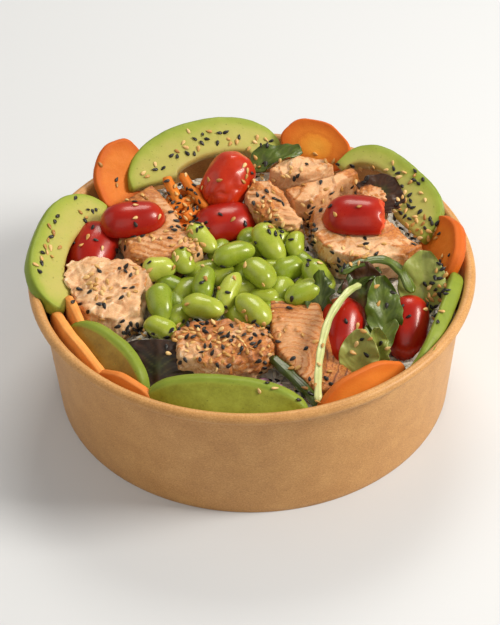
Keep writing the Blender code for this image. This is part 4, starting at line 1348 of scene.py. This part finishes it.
def smoothPath(corners, perLeg):
    # a Catmull-Rom curve through the corners
    spots = [Vector(c) for c in corners]
    spots = [spots[0] * 2 - spots[1]] + spots + [spots[-1] * 2 - spots[-2]]
    found = []
    for k in range(1, len(spots) - 2):
        a, b, c, d = spots[k - 1:k + 3]
        for step in range(perLeg):
            t = step / perLeg
            bend, twist = 2 * a - 5 * b + 4 * c - d, 3 * b - a - 3 * c + d
            found.append(0.5 * (2 * b + (c - a) * t + bend * t**2 + twist * t**3))
    return found + [spots[-2]]


def makeStem(name, stem, finish):
    look = stemLook
    path = smoothPath(stem["path"], look["stepsPerLeg"])
    turn = np.linspace(0, math.tau, look["around"], endpoint=False)
    coarse, fine = look["ribs"]
    seed = sum(map(ord, name)) % 20
    loops, along = [], []
    last = len(path) - 1
    for k, spot in enumerate(path):
        ahead = (path[min(k + 1, last)] - path[max(k - 1, 0)]).normalized()
        across = ahead.cross(Vector((0, 0, 1))).normalized()
        up = across.cross(ahead)
        ending = min(1.0, 0.45 + min(k, last - k) * 0.3)
        radius = stem["radius"] * ending * (1 + look["swell"] * math.sin(k * 0.55 + seed))
        ridge = radius * (1 + coarse * np.cos(5 * turn + 0.05 * k) + fine * np.cos(9 * turn))
        groove = 1 - look["groove"] * np.exp(-(((turn - math.pi / 2) / 0.4) ** 2))
        ring = np.array(spot) + np.outer(ridge * np.cos(turn), np.array(across))
        ring = ring + np.outer(ridge * groove * stem["flat"] * np.sin(turn), np.array(up))
        loops.append(ring)
        along.append(np.full(len(turn), k / last))
    points, faces = gridOf(np.array(loops))
    share = np.append(np.concatenate(along), [0.0, 1.0])
    fields = {"tint": np.full(len(points), stem["tint"]), "along": share}
    finishPiece(name + "_stalk", points, faces, fields, finish, "stem", name)


def cabbageFlesh():
    finish = Finish("cabbageFlesh", roughness=0.35, subsurface=0.1, glow=(1.0, 0.4, 0.7), coat=0.25)
    rim = finish.field("rim")
    drift = finish.clouds(3, detail=3)
    fine = finish.clouds(0.6, detail=3)
    colour = finish.ramp(
        rim * 0.75 + (drift - 0.5) * 0.6,
        [
            (0.0, srgb(206, 170, 190)), (0.35, srgb(168, 104, 134)), (0.7, srgb(112, 42, 78)),
            (1.0, srgb(84, 22, 54)),
        ],
    )
    finish.feed("Base Color", colour)
    finish.feed("Roughness", 0.28 + fine * 0.2)
    finish.bump(fine * 0.5 + drift * 0.5, 0.15, 0.4)
    return finish


def makeCabbage(finish):
    parts = []
    turn = np.linspace(0, math.tau, shreds["around"], endpoint=False)
    for number, (x, y, z, heading, rise, length) in enumerate(shreds["rows"]):
        loops, rim = [], []
        for share in np.linspace(-1, 1, shreds["steps"]):
            ending = max(0.25, math.sqrt(max(0.0, 1 - abs(share) ** 8)))
            width = shreds["width"] / 2 * ending * (1 + 0.12 * math.sin(5 * share + number))
            height = shreds["height"] / 2 * ending
            bend = shreds["bow"] * (share**2 - 0.4) * (1 if number % 2 else -1)
            lift = 0.4 * math.sin(4 * share + number)
            row = np.stack([
                np.full_like(turn, share * length / 2),
                width * np.sign(np.cos(turn)) * np.abs(np.cos(turn)) ** 0.7 + bend,
                height * np.sign(np.sin(turn)) * np.abs(np.sin(turn)) ** 0.7 + lift,
            ], -1)
            loops.append(row)
            rim.append(np.abs(np.cos(turn)))
        points, faces = gridOf(np.array(loops))
        points = placed(points, lying((x, y, z), heading, rise, 11 * number))
        parts.append((points, faces, {"rim": np.append(np.concatenate(rim), [1.0, 1.0])}))
    points, faces, fields = joined(parts)
    finishPiece("cabbage_shreds", points, faces, fields, finish, "cabbage", "cabbage")


stemFinish = stemSkin()
for stemName, stemValues in stems.items():
    makeStem(stemName, stemValues, stemFinish)
makeCabbage(cabbageFlesh())
print("stage: stems and cabbage")


# geometry nodes

class Tree:
    # a geometry node group built line by line
    def __init__(self, name, inputs):
        self.group = bpy.data.node_groups.new(name, "GeometryNodeTree")
        face = self.group.interface
        face.new_socket("Geometry", in_out="INPUT", socket_type="NodeSocketGeometry")
        self.keys = {}
        for label, kind, value in inputs:
            made = face.new_socket(label, in_out="INPUT", socket_type=kind)
            if value is not None:
                made.default_value = value
            self.keys[label] = made.identifier
        face.new_socket("Geometry", in_out="OUTPUT", socket_type="NodeSocketGeometry")
        self.entry = self.group.nodes.new("NodeGroupInput")
        self.exit = self.group.nodes.new("NodeGroupOutput")

    def node(self, kind, settings=None, sockets=None, out=0):
        made = self.group.nodes.new(kind)
        for key, value in (settings or {}).items():
            setattr(made, key, value)
        for key, value in (sockets or {}).items():
            if isinstance(value, bpy.types.NodeSocket):
                self.group.links.new(value, made.inputs[key])
            else:
                made.inputs[key].default_value = value
        return made.outputs[out]

    def given(self, label):
        return self.entry.outputs[label]

    def end(self, geometry, finish):
        whole = self.node("GeometryNodeRealizeInstances", None, {"Geometry": geometry})
        coat = {"Geometry": whole, "Material": finish.material}
        painted = self.node("GeometryNodeSetMaterial", None, coat)
        smooth = self.node("GeometryNodeSetShadeSmooth", None, {0: painted})
        self.group.links.new(smooth, self.exit.inputs[0])


def fieldNode(tree, name, kind="FLOAT"):
    return tree.node("GeometryNodeInputNamedAttribute", {"data_type": kind}, {"Name": name})


def grown(host, tree, values, name):
    # runs a tree on a host mesh and keeps the result as one plain mesh
    holder = bpy.data.objects.new(name, host)
    bpy.context.scene.collection.objects.link(holder)
    modifier = holder.modifiers.new(name, "NODES")
    modifier.node_group = tree.group
    for label, value in values.items():
        modifier[tree.keys[label]] = value
    graph = bpy.context.evaluated_depsgraph_get()
    mesh = bpy.data.meshes.new_from_object(holder.evaluated_get(graph))
    mesh.name = name
    holder.modifiers.remove(modifier)
    bpy.data.objects.remove(holder)
    piece = bpy.data.objects.new(name, mesh)
    bpy.context.scene.collection.objects.link(piece)
    return piece


def shapeObject(name, points, faces):
    # a small mesh that a tree repeats; it is removed once the pieces are made
    mesh = bpy.data.meshes.new(name)
    mesh.from_pydata((points * mm).tolist(), [], faces)
    made = bpy.data.objects.new(name, mesh)
    bpy.context.scene.collection.objects.link(made)
    return made


def repeatTree(name, finish, jitter):
    # one shape on every point, along its "lie" direction and out of its "out" direction
    tree = Tree(name, [
        ("Shape", "NodeSocketObject", None), ("Least", "NodeSocketFloat", 0.85),
        ("Most", "NodeSocketFloat", 1.15), ("Seed", "NodeSocketInt", 1),
    ])
    shape = tree.node(
        "GeometryNodeObjectInfo", {"transform_space": "ORIGINAL"},
        {"Object": tree.given("Shape")}, "Geometry",
    )
    turn = tree.node(
        "FunctionNodeAxesToRotation", {"primary_axis": "Z", "secondary_axis": "X"},
        {0: fieldNode(tree, "out", "FLOAT_VECTOR"), 1: fieldNode(tree, "lie", "FLOAT_VECTOR")},
    )
    lowest, highest = Vector((-jitter,) * 3), Vector((jitter,) * 3)
    wobble = tree.node(
        "FunctionNodeRandomValue", {"data_type": "FLOAT_VECTOR"},
        {0: lowest, 1: highest, "Seed": tree.given("Seed")},
    )
    spun = tree.node("FunctionNodeRotateRotation", {"rotation_space": "LOCAL"}, {0: turn, 1: wobble})
    size = tree.node(
        "FunctionNodeRandomValue", {"data_type": "FLOAT"},
        {2: tree.given("Least"), 3: tree.given("Most"), "Seed": tree.given("Seed")}, 1,
    )
    many = tree.node(
        "GeometryNodeInstanceOnPoints", None,
        {"Points": tree.given("Geometry"), "Instance": shape, "Rotation": spun, "Scale": size},
    )
    tree.end(many, finish)
    return tree


def pointMesh(name, spots, outs, lies, tones):
    # loose points that carry directions and a tone for a tree, given in millimetres
    mesh = bpy.data.meshes.new(name)
    mesh.from_pydata([tuple(s * mm) for s in spots], [], [])
    for label, rows in (("out", outs), ("lie", lies)):
        values = np.array([tuple(r) for r in rows], np.float32).ravel()
        mesh.attributes.new(label, "FLOAT_VECTOR", "POINT").data.foreach_set("vector", values)
    mesh.attributes.new("tone", "FLOAT", "POINT").data.foreach_set("value", np.array(tones, np.float32))
    return mesh


def surfaceOf(pieces):
    # one tree of triangles, in metres, of the pieces given
    points, faces, start = [], [], 0
    for piece in pieces:
        mesh = piece.data
        points.extend(v.co.copy() for v in mesh.vertices)
        faces.extend([v + start for v in face.vertices] for face in mesh.polygons)
        start += len(mesh.vertices)
    return BVHTree.FromPolygons(points, faces)


# rice

riceLook = {
    # sink: how far the bed lies under the solid's top; levels: how high over it a loose grain may lie
    "voxel": 1.1,
    "smoothing": 6,
    "sink": 1.2,
    "relief": 0.5,
    "grain": (6.4, 2.5, 2.2),
    "grainSteps": 6,
    "grainAround": 8,
    "grainCurve": 0.35,
    "spacing": 2.35,
    "levels": 1.3,
    "reach": 81.5,
    "tries": 26000,
    "steepest": 0.15,
    "eyeLevel": 1.5,
    "sizes": (0.85, 1.12),
    "seed": 11,
}


def riceFlesh():
    finish = Finish(
        "riceFlesh", roughness=0.38, subsurface=0.3, glow=(1.0, 0.9, 0.75), coat=0.12, coatRoughness=0.25
    )
    tone = finish.field("tone")
    drift = finish.clouds(6, detail=3)
    fine = finish.clouds(0.9, detail=3)
    colour = finish.ramp(
        tone * 0.5 + drift * 0.3 + fine * 0.2,
        [(0.15, srgb(238, 232, 216)), (0.5, srgb(248, 245, 236)), (0.85, srgb(253, 252, 248))],
    )
    finish.feed("Base Color", colour)
    finish.feed("Roughness", 0.3 + fine * 0.2)
    finish.bump(fine * 0.6 + drift * 0.4, 0.15, 0.35)
    return finish


def exposed(food, point, reach=0.25):
    # whether a point sees open air above it, straight up or leaning; point and reach are in metres
    for heading in range(0, 360, 60):
        way = math.radians(heading)
        lean = Vector((math.cos(way) * 0.9, math.sin(way) * 0.9, 1.0)).normalized()
        if food.ray_cast(point, lean, reach)[0] is None:
            return True
    return food.ray_cast(point, Vector((0, 0, 1)), reach)[0] is None


def makeRice(finish):
    look = riceLook
    points, faces = solidCopy("rice", look["voxel"], look["smoothing"])
    normals = normalsOf(points, faces)
    upward = smoothstep(normals[:, 2], 0.1, 0.6)
    amount = -look["sink"] * upward + look["relief"] * rough(points, 2.6, 1.0, 2) * upward
    points = points + normals * amount[:, None]
    food = surfaceOf(madePieces)
    draw = random.Random(look["seed"])
    bed = BVHTree.FromPolygons([Vector(p) for p in points.tolist()], faces)
    spots, outs, lies, tones = [], [], [], []
    taken = {}
    reach = look["reach"]
    for _ in range(look["tries"]):
        x, y = draw.uniform(-reach, reach), draw.uniform(-reach, reach)
        if math.hypot(x, y) > reach:
            continue
        spot, normal, _, _ = bed.ray_cast(Vector((x, y, 90)), Vector((0, 0, -1)))
        if spot is None or normal.z < look["steepest"]:
            continue
        cell = (int(x // look["spacing"]), int(y // look["spacing"]))
        near = [s for i in (-1, 0, 1) for j in (-1, 0, 1) for s in taken.get((cell[0] + i, cell[1] + j), ())]
        if any((s - spot).length < look["spacing"] for s in near):
            continue
        if not exposed(food, (spot + Vector((0, 0, look["eyeLevel"]))) * mm):
            continue
        taken.setdefault(cell, []).append(spot)
        heading = draw.uniform(0, math.tau)
        along = Vector((math.cos(heading), math.sin(heading), draw.uniform(-0.35, 0.35)))
        along = (along - normal * along.dot(normal) * 0.75).normalized()
        out = (normal + Vector((draw.uniform(-0.4, 0.4), draw.uniform(-0.4, 0.4), 0))).normalized()
        spots.append(spot + normal * draw.uniform(0.2, look["levels"]))
        outs.append(out)
        lies.append(along)
        tones.append(draw.random())
    grainPoints, grainFaces = ellipsoid(look["grain"], look["grainSteps"], look["grainAround"])
    grainPoints[:, 2] += look["grainCurve"] * (grainPoints[:, 0] / look["grain"][0] * 2) ** 2
    grain = shapeObject("grain", grainPoints, grainFaces)
    tree = repeatTree("riceGrains", finish, 0.25)
    host = pointMesh("ricePoints", spots, outs, lies, tones)
    least, most = look["sizes"]
    loose = grown(host, tree, {"Shape": grain, "Least": least, "Most": most, "Seed": 5}, "rice_grains")
    bpy.data.objects.remove(grain)
    adopt(loose, "rice")
    tone = {"tone": np.full(len(points), 0.35)}
    finishPiece("rice_bed", points, faces, tone, finish, "rice", "rice", turned=False)
    print("stage: rice,", len(spots), "grains")


makeRice(riceFlesh())


# camera, at the place and angle that the photograph was taken from

view = {
    "elevation": 39.73,
    "roll": -1.41,
    "distance": 826.7,
    "above": 61.0,
    "target": (-1.09, 0.0, 33.88),
    "lens": 115.2,
    "sensor": 36.0,
    "picture": (500, 625),
}


def cameraFrame():
    el, roll = math.radians(view["elevation"]), math.radians(view["roll"])
    level, rise = view["distance"] * math.cos(el), view["distance"] * math.sin(el)
    spot = Vector((0, -level, rise + view["above"])) * mm
    ahead = (Vector(view["target"]) * mm - spot).normalized()
    right = ahead.cross(Vector((0, 0, 1))).normalized()
    up = right.cross(ahead)
    side = math.cos(roll) * right + math.sin(roll) * up
    top = -math.sin(roll) * right + math.cos(roll) * up
    matrix = Matrix((side, top, -ahead)).transposed().to_4x4()
    matrix.translation = spot
    return matrix


def pictureRay(x, y):
    # the line from the camera through a place in the picture, in pixels from its top left corner
    matrix = cameraFrame()
    wide, high = view["picture"]
    focal = view["lens"] / view["sensor"] * high
    turn = matrix.to_3x3()
    ray = turn @ Vector(((x - wide / 2) / focal, (high / 2 - y) / focal, -1.0))
    return matrix.translation, ray.normalized()


def makeCamera():
    data = bpy.data.cameras.new("camera")
    data.lens = view["lens"]
    data.sensor_width = view["sensor"]
    data.sensor_fit = "VERTICAL"
    data.sensor_height = view["sensor"]
    camera = bpy.data.objects.new("camera", data)
    camera.matrix_world = cameraFrame()
    bpy.context.scene.collection.objects.link(camera)
    bpy.context.scene.camera = camera


makeCamera()


# sesame seeds

seedLook = {
    # spread: how widely the seeds of a patch scatter, as a share of its size
    "size": (2.85, 1.65, 0.95),
    "steps": 7,
    "around": 10,
    "pointed": 0.62,
    "sink": 0.15,
    "spread": 0.55,
    "spacing": 2.1,
    "tilt": 0.22,
    "tries": 400,
    "sizes": (0.85, 1.12),
    "seed": 21,
}
seedPatches = (
    # x and y in the picture, spread across and up, turn of the patch, black seeds, golden seeds
    (80, 212, 14, 8, 0, 5, 2), (48, 246, 8, 22, 20, 6, 10), (85, 240, 16, 10, 0, 3, 3),
    (118, 246, 8, 6, 0, 3, 2), (160, 165, 24, 8, -30, 4, 4), (195, 146, 22, 9, -8, 5, 4),
    (228, 138, 22, 8, 8, 5, 4), (262, 142, 14, 8, 0, 3, 3),
    (180, 190, 20, 14, 0, 8, 10), (187, 207, 9, 11, 0, 16, 8), (188, 226, 10, 8, 0, 5, 5),
    (192, 240, 10, 14, 0, 6, 14), (158, 236, 20, 12, 0, 5, 7), (140, 200, 14, 8, -20, 1, 4),
    (258, 178, 16, 22, 0, 6, 14), (268, 210, 14, 16, 0, 7, 16), (285, 228, 14, 8, 0, 8, 4),
    (309, 232, 6, 24, 0, 18, 12), (296, 176, 16, 12, 0, 3, 6), (322, 200, 16, 16, 0, 3, 6),
    (368, 172, 22, 10, -20, 4, 6), (412, 178, 14, 18, -40, 6, 6), (420, 226, 12, 12, 0, 14, 14),
    (405, 205, 10, 16, 0, 8, 8), (426, 232, 7, 6, 0, 6, 5), (350, 248, 36, 16, 0, 5, 12),
    (340, 262, 10, 6, 0, 5, 3), (436, 292, 9, 22, 10, 20, 12), (441, 275, 5, 8, 0, 5, 4),
    (445, 245, 6, 14, 0, 1, 1), (215, 262, 60, 26, 0, 6, 10), (230, 300, 55, 22, 0, 4, 8),
    (100, 300, 30, 26, 0, 10, 3), (98, 292, 16, 16, 0, 0, 14), (134, 331, 14, 6, 20, 16, 5),
    (134, 268, 8, 14, 0, 6, 4),
    (195, 338, 26, 10, -5, 14, 22), (235, 342, 22, 12, 5, 18, 18), (218, 358, 26, 8, 0, 6, 10),
    (192, 328, 10, 5, 0, 5, 5), (262, 330, 12, 6, 0, 4, 6), (290, 350, 26, 26, 0, 5, 10),
    (318, 385, 16, 14, 0, 4, 6), (275, 385, 12, 10, 0, 3, 1), (390, 300, 24, 22, 0, 4, 2),
    (352, 330, 10, 24, 0, 1, 3), (375, 345, 16, 10, 0, 3, 3), (330, 165, 16, 12, 0, 2, 3),
    (110, 180, 14, 16, 0, 1, 2), (215, 180, 12, 12, 0, 0, 2), (225, 222, 16, 10, 0, 1, 1),
    (352, 208, 14, 10, 0, 0, 1), (130, 215, 22, 8, -20, 0, 1),
    (300, 395, 8, 6, 0, 3, 0), (240, 388, 30, 10, 0, 0, 1),
)


def seedSkin(name, darkest, middle, lightest):
    finish = Finish(name, roughness=0.35, coat=0.2, coatRoughness=0.3)
    tone = finish.field("tone")
    drift = finish.clouds(1.2, detail=3)
    fine = finish.clouds(0.35, detail=2)
    colour = finish.ramp(tone * 0.6 + drift * 0.4, [(0.2, darkest), (0.5, middle), (0.85, lightest)])
    finish.feed("Base Color", colour)
    finish.feed("Roughness", 0.3 + fine * 0.25)
    finish.bump(fine * 0.6 + drift * 0.4, 0.1, 0.4)
    return finish


def sowSeeds():
    look = seedLook
    food = surfaceOf([p for p in madePieces if not p.name.startswith("bowl")])
    draw = random.Random(look["seed"])
    sown = {"black": ([], [], [], []), "golden": ([], [], [], [])}
    every = []
    for x, y, across, up, turn, black, golden in seedPatches:
        wish = ["black"] * black + ["golden"] * golden
        tries = 0
        while wish and tries < look["tries"]:
            tries += 1
            a, b = draw.gauss(0, look["spread"]), draw.gauss(0, look["spread"])
            c, s = math.cos(math.radians(turn)), math.sin(math.radians(turn))
            px, py = x + c * a * across - s * b * up, y + s * a * across + c * b * up
            start, ray = pictureRay(px, py)
            spot, normal, _, _ = food.ray_cast(start, ray)
            if spot is None or normal.dot(ray) > -0.2:
                continue
            if any((other - spot).length < look["spacing"] * mm for other in every):
                continue
            every.append(spot)
            lie = Vector((draw.gauss(0, 1), draw.gauss(0, 1), draw.gauss(0, 1)))
            lie = (lie - normal * lie.dot(normal)).normalized()
            shake = Vector((draw.gauss(0, 1), draw.gauss(0, 1), draw.gauss(0, 1)))
            out = (normal + shake * look["tilt"]).normalized()
            spots, outs, lies, tones = sown[wish.pop()]
            spots.append(spot / mm + normal * (look["size"][2] / 2 - look["sink"]))
            outs.append(out)
            lies.append(lie)
            tones.append(draw.random())
    points, faces = ellipsoid((1, 1, 1), look["steps"], look["around"])
    pointed = 1 - look["pointed"] * (points[:, 0] + 0.5) ** 1.5
    points[:, 1:] *= pointed[:, None] * 1.15
    seed = shapeObject("seed", points * np.array(look["size"]), faces)
    finishes = {
        "black": seedSkin("blackSesame", srgb(12, 11, 12), srgb(24, 22, 22), srgb(48, 42, 38)),
        "golden": seedSkin("goldenSesame", srgb(164, 112, 48), srgb(206, 158, 86), srgb(232, 200, 140)),
    }
    least, most = look["sizes"]
    for colour, rows in sown.items():
        tree = repeatTree(colour + "Seeds", finishes[colour], 0.12)
        host = pointMesh(colour + "Points", *rows)
        values = {"Shape": seed, "Least": least, "Most": most, "Seed": 1}
        adopt(grown(host, tree, values, colour + "_sesame"), "rice")
        print("stage:", len(rows[0]), colour, "sesame seeds")
    bpy.data.objects.remove(seed)


sowSeeds()


# floor and soft light

light = {
    # place and size in metres, and power in watts; each is aimed at the middle of the bowl
    "window": ((0.85, -0.12, 0.72), 0.34, 12.0),
    "front": ((-0.1, -0.9, 0.85), 0.9, 2.4),
    "left": ((-0.8, 0.1, 0.55), 0.8, 1.5),
    "back": ((0.1, 0.7, 0.95), 0.45, 5.5),
}
room = {
    # lengths are metres here
    "floorReach": 3.0,
    "floorColour": (0.66, 0.70, 0.76, 1.0),
    "lampColour": (1.0, 0.93, 0.82),
    "air": (1.0, 0.94, 0.86, 1.0),
    "airStrength": 0.29,
    "aim": (0, 0, 0.05),
}


def makeStage():
    mesh = bpy.data.meshes.new("floor")
    reach = room["floorReach"]
    corners = [(-reach, -reach, 0), (reach, -reach, 0), (reach, reach, 0), (-reach, reach, 0)]
    mesh.from_pydata(corners, [], [[0, 1, 2, 3]])
    finish = Finish("paleFloor", roughness=0.6)
    finish.shader.inputs["Base Color"].default_value = room["floorColour"]
    mesh.materials.append(finish.material)
    floor = bpy.data.objects.new("floor", mesh)
    bpy.context.scene.collection.objects.link(floor)
    for name, (place, size, power) in light.items():
        data = bpy.data.lights.new(name, "AREA")
        data.size = size
        data.energy = power
        data.color = room["lampColour"]
        lamp = bpy.data.objects.new(name, data)
        lamp.location = place
        lamp.rotation_euler = (Vector(room["aim"]) - Vector(place)).to_track_quat("-Z", "Y").to_euler()
        bpy.context.scene.collection.objects.link(lamp)
    world = bpy.data.worlds.new("paleRoom")
    bpy.context.scene.world = world
    world.use_nodes = True
    glow = world.node_tree.nodes["Background"]
    glow.inputs["Color"].default_value = room["air"]
    glow.inputs["Strength"].default_value = room["airStrength"]
    bpy.context.scene.view_settings.view_transform = "Standard"


makeStage()
print("stage: camera, floor and light")
